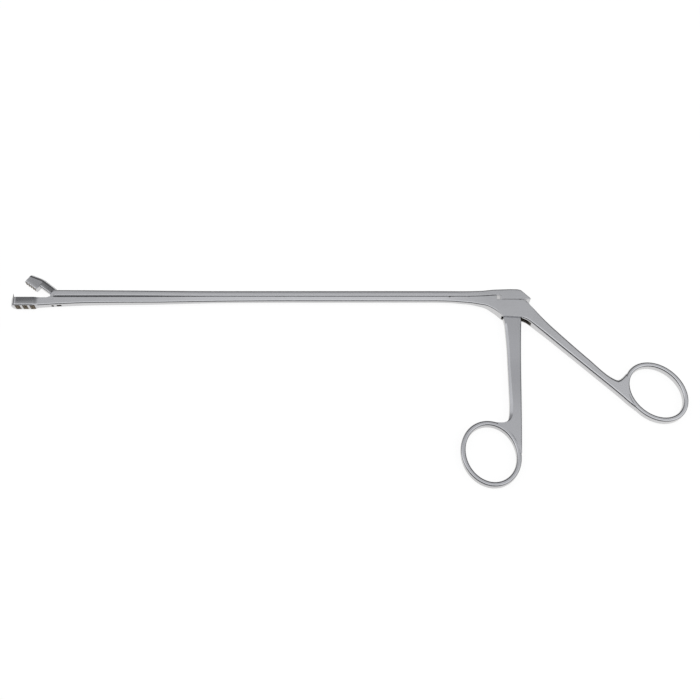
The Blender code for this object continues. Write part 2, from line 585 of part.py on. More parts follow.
def head_loft(back, front, rear):
    """The head and the arm of the upper jaw, as one bar whose rim steps up behind the head."""
    side_lean = 0.0001
    back_steps = 4
    places = [(front + (rear - front) * k / 6, -HEAD_RIM_BELOW) for k in range(7)]
    places += [(rear + HEAD_HEEL / 2, -HEAD_RIM_BELOW * 0.2), (rear + HEAD_HEEL, ARM_UNDER_HEIGHT),
               (-ARM_SHOULDER - 0.0030, ARM_UNDER_HEIGHT), (-ARM_SHOULDER, ARM_UNDER_HEIGHT)]
    rings = []
    for x, low in places:
        section = rounded_section(low, curve_value(back, x), HEAD_HALF, HEAD_HALF - side_lean,
                                  JOINT_EDGE, HEAD_BACK_EDGE, back_steps)
        rake = ARM_SHOULDER_RAKE / (ARM_BACK_HEIGHT - ARM_UNDER_HEIGHT) if x == -ARM_SHOULDER else 0.0
        rings.append([(x + rake * (y - ARM_UNDER_HEIGHT), y, z) for y, z in section])
    return loft("upper_jaw", rings, STEEL)


def make_upper_jaw():
    """The toothed head, its arm and its tail, modelled closed about the pivot and then swung open."""
    front = -HEAD_FRONT
    rear = front + HEAD_LENGTH
    back = [[(front, HEAD_FRONT_HEIGHT), (rear, ARM_BACK_HEIGHT), (-ARM_SHOULDER, ARM_BACK_HEIGHT - 0.0002)]]
    jaw = head_loft(back, front, rear)
    drive = (-DRIVE_REACH * math.sin(DRIVE_REST), DRIVE_REACH * math.cos(DRIVE_REST))
    lean = math.degrees(DRIVE_REST)
    tail_root = -ARM_SHOULDER - 0.0006
    tail = prism("tail_form",
                 arc((0, 0), TAIL_EYE_RADIUS, 215, 370, 14)
                 + arc(drive, TAIL_HEAD_RADIUS, lean - 10, lean + 100, 8)
                 + [(tail_root, ARM_UNDER_HEIGHT + 0.0024), (tail_root, ARM_UNDER_HEIGHT + 0.0003),
                    (-ARM_SHOULDER + JOINT_EDGE, ARM_UNDER_HEIGHT + LAP)], TAIL_HALF, None, 0.0)
    hollow_half = HEAD_HALF - HEAD_WALL
    cavity = loft("head_cavity_cut", [
        [(x, y, z) for y, z in rounded_section(-HEAD_RIM_BELOW - CUT_OVER, curve_value(back, x) - HEAD_ROOF,
                                               hollow_half, hollow_half, JOINT_EDGE, 0.0004)]
        for x in (front + HEAD_WALL, rear - 0.0030, rear - 0.0008)])
    teeth = []
    for k in range(TOOTH_COUNT):
        x = front + TOOTH_SETBACK + TOOTH_PITCH * k
        mouth_y = -HEAD_RIM_BELOW - 0.0003
        root_y = -HEAD_RIM_BELOW + TOOTH_DEPTH
        teeth.append(prism(f"tooth_gap_{k + 1}_cut",
                           [(x - TOOTH_GAP_HALF, mouth_y), (x + TOOTH_GAP_HALF, mouth_y),
                            (x + TOOTH_GAP_HALF / 4, root_y), (x - TOOTH_GAP_HALF / 4, root_y)],
                           BODY_HALF, None, 0.0))
    eye = rod("jaw_eye_cut", 0, 0, JAW_PIN_RADIUS + PIN_GAP, -BODY_HALF, BODY_HALF)
    along = Vector(drive).normalized()
    near = Vector(drive) - along * (DRIVE_REACH * (1 - math.cos(DRIVE_REST)) + PIN_GAP)
    far = Vector(drive) + along * PIN_GAP
    half = DRIVE_PIN_RADIUS + RUNNING_GAP
    drive_slot = prism("drive_slot_cut", arc(far, half, lean, lean + 180, 8)
                       + arc(near, half, lean + 180, lean + 360, 8), BODY_HALF, None, 0.0)
    combine(jaw, "UNION", tail)
    combine(jaw, "DIFFERENCE", cavity, *teeth, eye, drive_slot)
    swing = Matrix.Translation((JAW_PIVOT_X, JAW_PIVOT_Y, MID_Z)) @ Matrix.Rotation(-JAW_OPEN_ANGLE, 4, "Z")
    for thing in (jaw, tail, cavity, eye, drive_slot, *teeth):
        thing.matrix_world = swing


# The lever's edges as (y, x) knots: first beside the ring, from its middle, then up to the body
LEVER_LEFT = [
    around(FRONT_RING_Y, FRONT_RING_X, ((0.0002, 0.0144), (0.0052, 0.0136), (0.0087, 0.0120),
                                        (0.0116, 0.0094), (0.0136, 0.0068), (0.0150, 0.0036),
                                        (0.0162, 0.0039))),
    [*around(FRONT_RING_Y, FRONT_RING_X, ((0.0162, 0.0039), (0.0164, 0.0072), (0.0170, 0.0087),
                                          (0.0181, 0.00965), (0.0213, 0.0103), (0.0278, 0.0107))),
     (-0.0260, LEVER_NARROW_TOP_X + 0.00075), (-0.0124, LEVER_NARROW_TOP_X + 0.0003),
     (LEVER_TOP_Y, LEVER_NARROW_TOP_X)]]
LEVER_RIGHT = [
    [*around(FRONT_RING_Y, FRONT_RING_X, ((0.0002, 0.0156), (0.0085, 0.0161))),
     (-0.0260, LEVER_WIDE_TOP_X - 0.0010), (LEVER_TOP_Y - 0.0020, LEVER_WIDE_TOP_X - 0.0001),
     (LEVER_TOP_Y, LEVER_WIDE_TOP_X)]]


def make_front_lever():
    """The flat lever: its ring, the arm that thins upwards, and the tongue with the boss and nose."""
    foot = FRONT_RING_Y + 0.0002
    half = [[(foot, RING_HALF - LAP * 2), (FRONT_RING_Y + 0.0242, LEVER_LOW_HALF),
             (LEVER_THIN_Y * 2, LEVER_LOW_HALF * 0.8), (LEVER_THIN_Y, LEVER_TONGUE_HALF),
             (LEVER_TOP_Y, LEVER_TONGUE_HALF)]]
    edge = [[(foot, LEVER_EDGE / 2), (FRONT_RING_Y + 0.0085, LEVER_EDGE), (LEVER_THIN_Y * 2, LEVER_EDGE),
             (LEVER_THIN_Y, LEVER_TONGUE_HALF * 0.5), (LEVER_TOP_Y, LEVER_TONGUE_HALF * 0.4)]]
    rings = []
    for y in stations(LEVER_LEFT + LEVER_RIGHT + half, 0.0030):
        thick = curve_value(half, y)
        rounding = curve_value(edge, y)
        section = rounded_section(curve_value(LEVER_LEFT, y), curve_value(LEVER_RIGHT, y), thick, thick,
                                  rounding, rounding)
        rings.append([(x, y, MID_Z + z) for x, z in section])
    lever = loft("front_lever", rings, LEVER_STEEL)
    ring = finger_ring("front_ring_form", FRONT_RING_X, FRONT_RING_Y, FRONT_RING_LONG, FRONT_RING_SHORT,
                       FRONT_RING_TILT)
    lean = math.degrees(NOSE_REST)
    side = Vector((math.cos(NOSE_REST), -math.sin(NOSE_REST))) * NECK_HALF
    root = Vector((math.sin(NOSE_REST), math.cos(NOSE_REST))) * BOSS_RADIUS * 0.98
    lap_y = LEVER_TOP_Y - 0.0025
    inset = LAP * 5
    tongue = prism("tongue_plate_form",
                   [(LEVER_NARROW_TOP_X + inset, lap_y), (LEVER_WIDE_TOP_X - inset * 2, lap_y),
                    (LEVER_WIDE_TOP_X - inset * 2, LEVER_TOP_Y + inset)]
                   + arc((0, 0), BOSS_RADIUS, -15, 66 - lean, 8)
                   + [tuple(root + side)]
                   + arc((NOSE_X, NOSE_Y), NOSE_RADIUS, -52 - lean, 232 - lean, 18)
                   + [tuple(root - side)]
                   + arc((0, 0), BOSS_RADIUS, 114 - lean, 205, 10), LEVER_TONGUE_HALF - LAP / 2)
    hole = rod("lever_hole_cut", 0, 0, LEVER_PIN_RADIUS + PIN_GAP, -CUT_OVER, 2 * MID_Z + CUT_OVER)
    combine(lever, "UNION", ring, tongue)
    combine(lever, "DIFFERENCE", hole)


def make_pins():
    """The three pins, flush with the sides of what holds them."""
    rod("lever_pivot_pin", 0, 0, LEVER_PIN_RADIUS, 0.0, 2 * MID_Z, STEEL, 36)
    low = MID_Z - SHAFT_FRONT_HALF
    high = MID_Z + SHAFT_FRONT_HALF
    rod("jaw_pivot_pin", JAW_PIVOT_X, JAW_PIVOT_Y, JAW_PIN_RADIUS, low, high, STEEL)
    rod("jaw_drive_pin", DRIVE_X, DRIVE_Y, DRIVE_PIN_RADIUS, low, high, STEEL)


def main():
    """Clear the scene and build the forceps."""
    for thing in list(bpy.data.objects):
        bpy.data.objects.remove(thing, do_unlink=True)
    make_fixed_frame()
    make_sliding_bar()
    make_upper_jaw()
    make_front_lever()
    make_pins()
    print(f"stroke {STROKE * 1000:.3f} mm, drive reach {DRIVE_REACH * 1000:.3f} mm")


main()
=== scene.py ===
"""Uterine biopsy forceps in satin steel, lying on one side with open jaws.

The fine surfaces are worked out as arrays and stand for the solids of the packed frame.
All lengths are in metres. The shaft runs along -X, the handles reach to -Y, and +Z is up.
"""
import json
import math

import bmesh
import bpy
import numpy as np
from mathutils import Matrix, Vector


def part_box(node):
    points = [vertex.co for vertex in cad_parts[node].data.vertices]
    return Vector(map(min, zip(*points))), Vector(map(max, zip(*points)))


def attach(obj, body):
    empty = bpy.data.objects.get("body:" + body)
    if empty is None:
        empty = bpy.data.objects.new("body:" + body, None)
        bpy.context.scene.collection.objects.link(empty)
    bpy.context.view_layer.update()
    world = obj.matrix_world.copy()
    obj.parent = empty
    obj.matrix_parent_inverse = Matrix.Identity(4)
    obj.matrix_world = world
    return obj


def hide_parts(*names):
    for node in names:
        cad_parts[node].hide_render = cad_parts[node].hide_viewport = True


bl_info = {
    "name": "Biopsy forceps",
    "version": (1, 0, 0),
    "blender": (4, 5, 0),
    "location": "3D View > Sidebar > Forceps",
    "description": "Builds a sliding-shaft biopsy forceps in satin steel with its stage",
    "category": "Object",
}

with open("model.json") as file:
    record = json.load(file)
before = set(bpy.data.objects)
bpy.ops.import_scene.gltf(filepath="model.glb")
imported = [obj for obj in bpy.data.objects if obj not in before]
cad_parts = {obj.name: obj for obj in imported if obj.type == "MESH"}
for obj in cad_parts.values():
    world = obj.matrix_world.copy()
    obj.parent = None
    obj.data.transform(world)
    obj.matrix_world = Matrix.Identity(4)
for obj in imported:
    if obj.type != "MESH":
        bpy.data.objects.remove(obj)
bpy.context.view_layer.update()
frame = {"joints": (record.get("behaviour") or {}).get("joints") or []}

# Places that come with the frame
JOINTS = {joint["name"]: joint for joint in frame["joints"]}
MID_Z = JOINTS["lever_hinge"]["pos_m"][2]
JAW_PIVOT_X, JAW_PIVOT_Y = JOINTS["jaw_hinge"]["pos_m"][:2]
LEVER_RANGE = math.radians(JOINTS["lever_hinge"]["range_deg"][1])
JAW_TIP_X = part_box("fixed_frame")[0].x

# Clearances
RUNNING_GAP = 0.00012
PIN_GAP = 0.00008
FLUSH_GAP = 0.00001
SIDE_GAP = 0.00015
SLIDE_GAP = 0.00025
STOP_GAP = 0.00045
CUT_OVER = 0.0020
LAP = 0.00004

# Body, from the lever's pivot
BODY_FRONT_X = -0.0380
BODY_FULL_X = -0.0050
BODY_CORNER_X = -0.0019
BODY_CORNER_Y = -0.0058
MOUTH_REAR_X = 0.0078
MOUTH_REAR_Y = -0.0064
SEAT_Y = 0.00370
SEAT_STEP_X = -0.0046
SEAT_STEP_RUN = 0.00010
SEAT_REAR_X = 0.0084

# Shaft
JOINT_Y = 0.00605
SHAFT_BOTTOM_Y = 0.0033
SHAFT_FRONT_BOTTOM_Y = 0.0012
SHAFT_SLIM_X = -0.1500
SHAFT_EVEN_X = -0.1100
SHAFT_TOP_Y = JOINT_Y - SLIDE_GAP / 2
BAR_BOTTOM_Y = JOINT_Y + SLIDE_GAP / 2

# Lower jaw
JAW_ROOT_X = JAW_PIVOT_X - 0.0079
JAW_BLEND = 0.0022
JAW_RIM_Y = 0.0053
JAW_BOTTOM_Y = 0.0003
JAW_RIM_HALF = 0.00275
JAW_BOTTOM_HALF = 0.0031
JAW_NOSE = 0.0031
JAW_NOSE_LIFT = 0.0009
WINDOW_COUNT = 3
WINDOW_SETBACK = 0.0024
SPIKE_BASE = 0.0010
SPIKE_WIDTH = 0.0016
SPIKE_SETBACK = 0.00035
DRAIN_LENGTH = 0.0013
DRAIN_SETBACK = 0.00035
STEP_FRONT_X = JAW_PIVOT_X - 0.0027
STEP_REAR_X = JAW_PIVOT_X - 0.0012

# Upper jaw, as closed, from its pivot
HEAD_SETBACK = 0.00345
HEAD_SIDE_GAP = 0.00025
HEAD_LENGTH = 0.0078
HEAD_RIM_BELOW = 0.00110
HEAD_FRONT_HEIGHT = 0.0046
HEAD_BACK_EDGE = 0.0021
HEAD_HEEL = 0.0003
HEAD_WALL = 0.00055
HEAD_ROOF = 0.0011
HEAD_SIDE_LEAN = 0.0002
ARM_SIDE_LEAN = 0.0005
ARM_BACK_HEIGHT = 0.0063
ARM_GAP = 0.000225
ARM_SHOULDER = 0.0031
ARM_SHOULDER_RAKE = 0.00065
TOOTH_PITCH = 0.00155
TOOTH_COUNT = 5
TOOTH_SETBACK = 0.00120
TAIL_HALF = 0.00070
TAIL_EYE_RADIUS = 0.0016
TAIL_HEAD_RADIUS = 0.00115
TAIL_GAP = 0.00017
HEAD_FRONT = JAW_PIVOT_X - JAW_TIP_X - HEAD_SETBACK
ARM_UNDER_HEIGHT = SHAFT_TOP_Y - JAW_PIVOT_Y + ARM_GAP

# Sliding bar
BAR_TOP_Y = 0.0094
BAR_FRONT_TOP_Y = 0.0098
BAR_NOSE_X = JAW_PIVOT_X - 0.0005
BAR_NOSE_Y = 0.0079
BAR_NOSE_TOP_X = JAW_PIVOT_X + 0.0016
BAR_NOSE_BOTTOM_X = JAW_PIVOT_X + 0.0005
BAR_WAIST = 0.00012
BAR_CREST_X = 0.0032
BAR_CREST_Y = 0.0097
BAR_SHOULDER_X = 0.0085
BAR_SHOULDER_Y = 0.0091
BAR_BEAK_X = 0.0133
BAR_BEAK_Y = 0.0044
KEY_LENGTH = 0.0024
KEY_NECK_HALF = 0.00050
KEY_HEAD_HALF = 0.00095
KEY_NECK = 0.00080
KEY_HEAD = 0.00080
KEY_REST_X = (JAW_PIVOT_X + 0.0044, -0.1200, -0.0280)
RELIEF_LENGTH = 0.0010
RELIEF_DEPTH = 0.00045

# Front lever
LEVER_TOP_Y = -0.0070
LEVER_THIN_Y = -0.0145
LEVER_WIDE_TOP_X = 0.0080
LEVER_NARROW_TOP_X = -0.00105
NOSE_REACH = 0.0065
NOSE_RADIUS = 0.0011
NECK_HALF = 0.00070
BOSS_RADIUS = 0.0026

# Finger rings
FRONT_RING_X = -0.0110
FRONT_RING_Y = -0.0808
REAR_RING_X = 0.0758
REAR_RING_Y = -0.0478
HANDLE_SLIM_X = 0.0240
HANDLE_END_X = REAR_RING_X - 0.0113
HANDLE_RING_HALF = 0.0025

# Fineness of the surfaces
STATION_STEP = 0.0011
FINE_STEP = 0.00025
CORNER_STEPS = 6
RING_STEPS = 240
SHARP_ANGLE = math.radians(32)


def length(name, default):
    """A property that holds a length in metres."""
    return bpy.props.FloatProperty(name=name, default=default, precision=5, subtype="DISTANCE", unit="LENGTH")


def share(name, default):
    """A property that holds a share from nothing to all."""
    return bpy.props.FloatProperty(name=name, default=default, min=0.0, max=1.0, subtype="FACTOR")


def colour(name, default):
    """A property that holds a colour in linear light."""
    return bpy.props.FloatVectorProperty(name=name, default=default, min=0.0, max=1.0, subtype="COLOR")


def angle(name, degrees):
    """A property that holds an angle, given here in degrees."""
    return bpy.props.FloatProperty(name=name, default=math.radians(degrees), subtype="ANGLE", unit="ROTATION")


def brightness(name, default):
    """A property that holds a level of light, where one is white."""
    return bpy.props.FloatProperty(name=name, default=default, min=0.0)


class ForgingSizes(bpy.types.PropertyGroup):
    """Sizes of the fixed half: shaft, body and rear handle."""
    shaft_half: length("Half thickness of the slim shaft", 0.0016)
    front_half: length("Half thickness of the shaft behind the jaws", 0.0021)
    handle_half: length("Half thickness of the rear handle", 0.00275)
    shaft_edge: length("Rounding of the shaft's long lower edges", 0.0008)
    mouth_edge: length("Rounding of the body's edges over the lever", 0.00015)
    joint_edge: length("Rounding of the edges along the joint line", 0.00010)
    front_joint_edge: length("Rounding of those edges behind the jaws", 0.00050)
    handle_edge: length("Rounding of the rear handle's edges", 0.0016)
    taper: length("How much slimmer the shaft is at its lower edge, to each side", 0.00022)
    crown: length("How far the basket's sides swell between their edges", 0.00010)


class BarSizes(bpy.types.PropertyGroup):
    """Sizes of the sliding bar."""
    top_edge: length("Rounding of the bar's long upper edges", 0.00085)
    crown: length("How far the bar's sides swell between their edges", 0.00007)


class JawSizes(bpy.types.PropertyGroup):
    """Sizes of the basket and of the toothed head."""
    wall: length("Thickness of the basket's walls", 0.00060)
    floor: length("Thickness of the basket's floor", 0.00080)
    window_length: length("Length of a window in the basket's floor", 0.00275)
    window_bridge: length("Bridge left between two windows", 0.00115)
    window_half: length("Half width of the windows", 0.00262)
    window_corner: length("Rounding of the windows' corners", 0.00030)
    spike_height: length("Height of the spike above the rim", 0.0033)
    tooth_depth: length("Depth of the gaps between the teeth", 0.00065)
    rim_edge: length("Rounding of the upper jaw's rim and of its arm below", 0.00075)
    tooth_gap_half: length("Half width of a tooth gap at the rim", 0.00045)
    open_angle: angle("Angle by which the upper jaw is open at rest", 36.5)


class LeverSizes(bpy.types.PropertyGroup):
    """Sizes of the front lever."""
    tongue_half: length("Half thickness of the tongue in the body", 0.0019)
    low_half: length("Half thickness of the arm above its ring", 0.0023)
    edge: length("Rounding of the arm's long edges", 0.0009)
    bevel: length("Width of the bevel along the arm's front edge, at its lower end", 0.0017)


class RingSizes(bpy.types.PropertyGroup):
    """Sizes of the two finger rings."""
    front_long: length("Half the long axis of the front ring", 0.0163)
    front_short: length("Half the short axis of the front ring", 0.0139)
    front_tilt: angle("Direction of the front ring's long axis", -72.0)
    rear_long: length("Half the long axis of the rear ring", 0.0166)
    rear_short: length("Half the short axis of the rear ring", 0.0131)
    rear_tilt: angle("Direction of the rear ring's long axis", -47.0)
    band: length("Width of the band that makes a ring", 0.0026)
    half: length("Half the thickness of that band", 0.0023)
    edge: length("Rounding of the band's edges", 0.0009)
    crown: length("How far the band's faces swell between their edges", 0.00001)


class Finishes(bpy.types.PropertyGroup):
    """Colours and grain of the steel, with painted shade in the lever's colour and in the slots' colour."""
    satin: colour("Colour of the forging, the bar and the jaw", (0.575, 0.580, 0.600))
    # Painted shade: the lever is the same steel as the satin, painted a little darker for the shade on its
    # faces
    lever: colour("Colour of the front lever", (0.490, 0.495, 0.515))
    inner: colour("Colour inside the basket", (0.60, 0.54, 0.45))
    # Painted shade: a dark brown that stands in for the shade inside the slots, holes and grooves
    slot: colour("Colour in the slots, holes and grooves", (0.16, 0.145, 0.12))
    roughness: share("Mean roughness of the satin faces", 0.19)
    inner_roughness: share("Mean roughness inside the cuts", 0.45)
    tone: share("How far the grain varies the colour", 0.06)
    grain_length: length("Length of a brush mark", 0.011)
    grain_width: length("Width of a brush mark", 0.00022)
    grain_depth: length("Depth of the brush marks", 0.000004)
    inner_metal: share("How metallic the film inside the cuts looks", 0.15)


class StageSettings(bpy.types.PropertyGroup):
    """Floor, light and camera."""
    floor_half: length("Half the width of the floor", 3.0)
    overhead: brightness("Level of the sky overhead", 1.18)
    slope: brightness("Level of the sky that flat faces mirror", 0.76)
    horizon: brightness("Level of the sky near the horizon", 0.14)
    side_glow: brightness("Level added towards the jaws' side", 0.65)
    camera_place: bpy.props.FloatVectorProperty(name="Where the camera stands", size=3, unit="LENGTH",
                                                default=(-0.08262, -0.24977, 0.59141), subtype="TRANSLATION")
    camera_tilt: angle("Angle of the view from straight down", 21.0)
    focal_length: bpy.props.FloatProperty(name="Focal length in millimetres", default=61.714, unit="CAMERA")


def smooth_curve(knots, at):
    """Cubic pieces through the knots.

    The slope at a knot is the harmonic mean of the slopes on both sides, and zero where these have
    different signs, so that the curve never overshoots a knot.
    """
    places, values = np.array(knots, float).T
    steps = np.diff(values) / np.diff(places)
    slopes = np.zeros(len(places))
    slopes[0] = steps[0]
    slopes[-1] = steps[-1]
    same_way = np.flatnonzero(steps[:-1] * steps[1:] > 0)
    slopes[same_way + 1] = 2 / (1 / steps[same_way] + 1 / steps[same_way + 1])
    at = np.clip(at, places[0], places[-1])
    k = np.clip(np.searchsorted(places, at, side="right") - 1, 0, len(places) - 2)
    span = places[k + 1] - places[k]
    t = (at - places[k]) / span
    ease = t * t * (3 - 2 * t)
    lean = span * t * (1 - t) * ((1 - t) * slopes[k] - t * slopes[k + 1])
    return values[k] + ease * (values[k + 1] - values[k]) + lean


def joined_curve(curves, at):
    """The value of the curve that covers each place, out of a list of curves that meet at corners."""
    result = smooth_curve(curves[-1], at)
    for knots in reversed(curves[:-1]):
        result = np.where(at <= knots[-1][0], smooth_curve(knots, at), result)
    return result


def stations(curves, spacing=STATION_STEP):
    """Every knot's place, with even steps of at most the spacing between them."""
    places = np.unique([knot[0] for curve in curves for knot in curve])
    runs = [np.linspace(a, b, math.ceil((b - a) / spacing), endpoint=False)
            for a, b in zip(places, places[1:])]
    return np.append(np.concatenate(runs), places[-1])


def between(start, end, shares):
    """Knots on the way from one knot to another, by their shares of the way along and across."""
    return [(start[0] + along * (end[0] - start[0]), start[1] + across * (end[1] - start[1]))
            for along, across in shares]


def around(x, y, offsets):
    """Knots by their offsets from a place, such as the middle of a finger ring."""
    return [(x + dx, y + dy) for dx, dy in offsets]


def softened(corners, reach, steps=CORNER_STEPS):
    """Closed sections whose corners are replaced by circular arcs.

    An arc leaves one side at the reach from its corner and meets the next side as far from it. It is a
    rational parabola whose middle weight is the sine of half the corner's inner angle.
    """
    sides = []
    for shift in (1, -1):
        side = np.roll(corners, shift, axis=1) - corners
        sides.append(side / np.linalg.norm(side, axis=2, keepdims=True))
    cosine = np.sum(sides[0] * sides[1], axis=2)
    weight = np.sqrt(np.clip((1 - cosine) / 2, 0, 1))[..., None, None]
    start, end = (corners + side * reach[..., None] for side in sides)
    t = np.linspace(0, 1, steps + 1)[None, None, :, None]
    first, middle, last = (1 - t) ** 2, 2 * t * (1 - t) * weight, t ** 2
    points = first * start[:, :, None] + middle * corners[:, :, None] + last * end[:, :, None]
    points /= first + middle + last
    return points.reshape(len(corners), -1, 2)


def bar_sections(low, high, half_low, half_high, edge_low, edge_high, crown=0.0, steps=CORNER_STEPS):
    """Sections of a flat bar as (along, across), one for each entry of the arrays.

    The edges are quarter circles. Each broad side is one flat arc that stands proud by the crown in its
    middle.
    """
    low, high, half_low, half_high, edge_low, edge_high, crown = np.broadcast_arrays(
        *(np.atleast_1d(np.asarray(value, float))
          for value in (low, high, half_low, half_high, edge_low, edge_high, crown)))
    middle = (low + high) / 2
    swell = (half_low + half_high) / 2 + crown
    corners = np.stack([np.stack(pair, axis=-1) for pair in (
        (low, -half_low), (middle, -swell), (high, -half_high),
        (high, half_high), (middle, swell), (low, half_low))], axis=1)
    side_reach = 0.9 * np.maximum((high - low) / 2 - np.maximum(edge_low, edge_high), 1e-6)
    reach = np.stack([edge_low, side_reach, edge_high, edge_high, side_reach, edge_low], axis=1)
    return softened(corners, reach, steps)


def upright(x, sections):
    """Sections of (y, across) stood up across the middle plane, one at each x."""
    level = np.broadcast_to(np.asarray(x, float)[:, None], sections.shape[:2])
    return np.stack((level, sections[..., 0], MID_Z + sections[..., 1]), axis=-1)


def level_with(y, sections):
    """Sections of (x, across) laid across the middle plane, one at each y."""
    level = np.broadcast_to(y[:, None], sections.shape[:2])
    return np.stack((sections[..., 0], level, MID_Z + sections[..., 1]), axis=-1)


def add_piece(name, vertices, faces, material=None):
    """Link a mesh of these vertices and faces, with its faces pointing outwards."""
    mesh = bpy.data.meshes.new(name)
    mesh.from_pydata(vertices, [], faces)
    data = bmesh.new()
    data.from_mesh(mesh)
    bmesh.ops.recalc_face_normals(data, faces=data.faces)
    data.to_mesh(mesh)
    data.free()
    piece = bpy.data.objects.new(name, mesh)
    bpy.context.scene.collection.objects.link(piece)
    if material is not None:
        mesh.materials.append(material)
    return piece


def skin(name, grid, material=None, loop=False):
    """A surface through closed rows of points, each joined to the next by four-sided faces.

    A loop joins the last row to the first. Otherwise a flat face closes each end.
    """
    rows, across = grid.shape[:2]
    index = np.arange(rows * across).reshape(rows, across)
    near = index if loop else index[:-1]
    far = np.roll(index, -1, axis=0) if loop else index[1:]
    faces = np.stack((near, np.roll(near, -1, axis=1), np.roll(far, -1, axis=1), far), axis=-1)
    faces = faces.reshape(-1, 4).tolist()
    if not loop:
        faces += [index[0].tolist(), index[-1].tolist()]
    return add_piece(name, grid.reshape(-1, 3).tolist(), faces, material)


def prism(name, outline, low, high, material=None, axis=2):
    """An outline carried along an axis, from low to high."""
    flat = np.asarray(outline, float)
    ends = [np.insert(flat, axis, level, axis=1) for level in (low, high)]
    return skin(name, np.stack(ends), material)


def plate(name, outline, half, material=None, middle=MID_Z):
    """An outline in x and y, as thick to both sides of a middle plane."""
    return prism(name, outline, middle - half, middle + half, material)


def arc(centre, radius, start, end, steps=16):
    """Points on a circle from one angle in degrees to another."""
    turn = np.radians(np.linspace(start, end, steps + 1))
    return np.stack((centre[0] + radius * np.cos(turn), centre[1] + radius * np.sin(turn)), axis=1)


def circle(centre, radius, steps=64):
    """Points all round a circle."""
    return arc(centre, radius, 0, 360, steps)[:-1]


def round_hole(name, centre, radius, material):
    """A round bar that cuts a hole through the whole thickness."""
    return prism(name, circle(centre, radius), -CUT_OVER, 2 * MID_Z + CUT_OVER, material)


def rectangle(x0, x1, y0, y1, corner=0.0):
    """A rectangle's outline, with rounded corners if they are given."""
    corners = np.array([[(x0, y0), (x1, y0), (x1, y1), (x0, y1)]])
    if corner == 0.0:
        return corners[0]
    return softened(corners, np.full((1, 4), corner))[0]


def turned(point, by):
    """A point turned about the lever's pivot."""
    x, y = point
    return x * math.cos(by) - y * math.sin(by), x * math.sin(by) + y * math.cos(by)


def work(piece, unions, cuts):
    """Join other solids to a piece, cut others out of it, and keep only the result as its mesh."""
    for operation, tools in (("UNION", unions), ("DIFFERENCE", cuts)):
        for tool in tools:
            modifier = piece.modifiers.new(tool.name, "BOOLEAN")
            modifier.operation = operation
            modifier.solver = "EXACT"
            modifier.material_mode = "TRANSFER"
            modifier.object = tool
    graph = bpy.context.evaluated_depsgraph_get()
    graph.update()
    result = bpy.data.meshes.new_from_object(piece.evaluated_get(graph), depsgraph=graph)
    if not result.polygons:
        raise RuntimeError(f"{piece.name} came out empty")
    result.name = piece.name
    piece.modifiers.clear()
    piece.data = result
    for tool in (*unions, *cuts):
        bpy.data.objects.remove(tool, do_unlink=True)


def finish_piece(piece, body, slot, *nodes):
    """Shade a finished piece, let it ride on its body and put it in the place of its solids."""
    piece.data.shade_smooth()
    piece.data.set_sharp_from_angle(angle=SHARP_ANGLE)
    weighted = piece.modifiers.new("flat_faces_stay_flat", "WEIGHTED_NORMAL")
    weighted.keep_sharp = True
    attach(piece, body)
    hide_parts(*nodes)


def feed(tree, node, values):
    """Fill a node's inputs: a value that is a socket is linked, and any other is set."""
    for key, value in values.items():
        if isinstance(value, bpy.types.NodeSocket):
            tree.links.new(value, node.inputs[key])
        else:
            node.inputs[key].default_value = value


def add_node(tree, kind, values=None, **settings):
    """A shader node with its settings and its inputs."""
    node = tree.nodes.new("ShaderNode" + kind)
    for key, value in settings.items():
        setattr(node, key, value)
    feed(tree, node, values or {})
    return node


def maths(tree, operation, *values):
    """The result of an operation on sockets and numbers."""
    return add_node(tree, "Math", dict(enumerate(values)), operation=operation).outputs[0]


def eased(tree, value, start, end, top=1.0):
    """A smooth step from nothing up to a top, as the value goes from its start to its end."""
    return add_node(tree, "MapRange", {"Value": value, "From Min": start, "From Max": end, "To Min": 0.0,
                                       "To Max": top}, interpolation_type="SMOOTHSTEP").outputs[0]


def noise(tree, place, scale, detail, **values):
    """The strength of a noise at a place."""
    values.update(Vector=place, Scale=scale, Detail=detail)
    return add_node(tree, "TexNoise", values).outputs["Fac"]


def blend(tree, part, first, second):
    """A mix of two shaders."""
    return add_node(tree, "MixShader", {0: part, 1: first, 2: second}).outputs[0]


def emission(tree, tint=(1.0, 1.0, 1.0), strength=1.0, kind="Emission"):
    """A light of a colour and strength, from a surface or from the world behind."""
    return add_node(tree, kind, {"Color": (*tint, 1.0), "Strength": strength}).outputs[0]


def new_group(name, inputs, outputs):
    """An empty shader group with named sockets, its input node and its output node."""
    tree = bpy.data.node_groups.new(name, "ShaderNodeTree")
    for in_out, sockets in (("INPUT", inputs), ("OUTPUT", outputs)):
        for socket_name, kind in sockets:
            tree.interface.new_socket(name=socket_name, in_out=in_out, socket_type="NodeSocket" + kind)
    return tree, tree.nodes.new("NodeGroupInput"), tree.nodes.new("NodeGroupOutput")


def brush_group():
    """Brush marks: streaks along the grain and a slow drift of tone over the piece."""
    name = "brush_marks"
    if name in bpy.data.node_groups:
        return bpy.data.node_groups[name]
    drift_scale = 55.0
    spread = 0.16
    tree, given, result = new_group(
        name, (("Grain", "Vector"), ("Place", "Vector"), ("Colour", "Color"), ("Tone", "Float"),
               ("Roughness", "Float")),
        (("Colour", "Color"), ("Roughness", "Float"), ("Height", "Float")))
    streaks = noise(tree, given.outputs["Grain"], 1.0, 3.0, Roughness=0.6)
    drift = noise(tree, given.outputs["Place"], drift_scale, 2.0)
    centred = maths(tree, "SUBTRACT", maths(tree, "ADD", streaks, drift), 1.0)
    level = maths(tree, "MULTIPLY_ADD", centred, given.outputs["Tone"], 1.0)
    toned = add_node(tree, "VectorMath", {0: given.outputs["Colour"], "Scale": level}, operation="SCALE")
    rough = maths(tree, "MULTIPLY_ADD", centred, spread, given.outputs["Roughness"])
    feed(tree, result, {"Colour": toned.outputs[0], "Roughness": rough, "Height": streaks})
    return tree


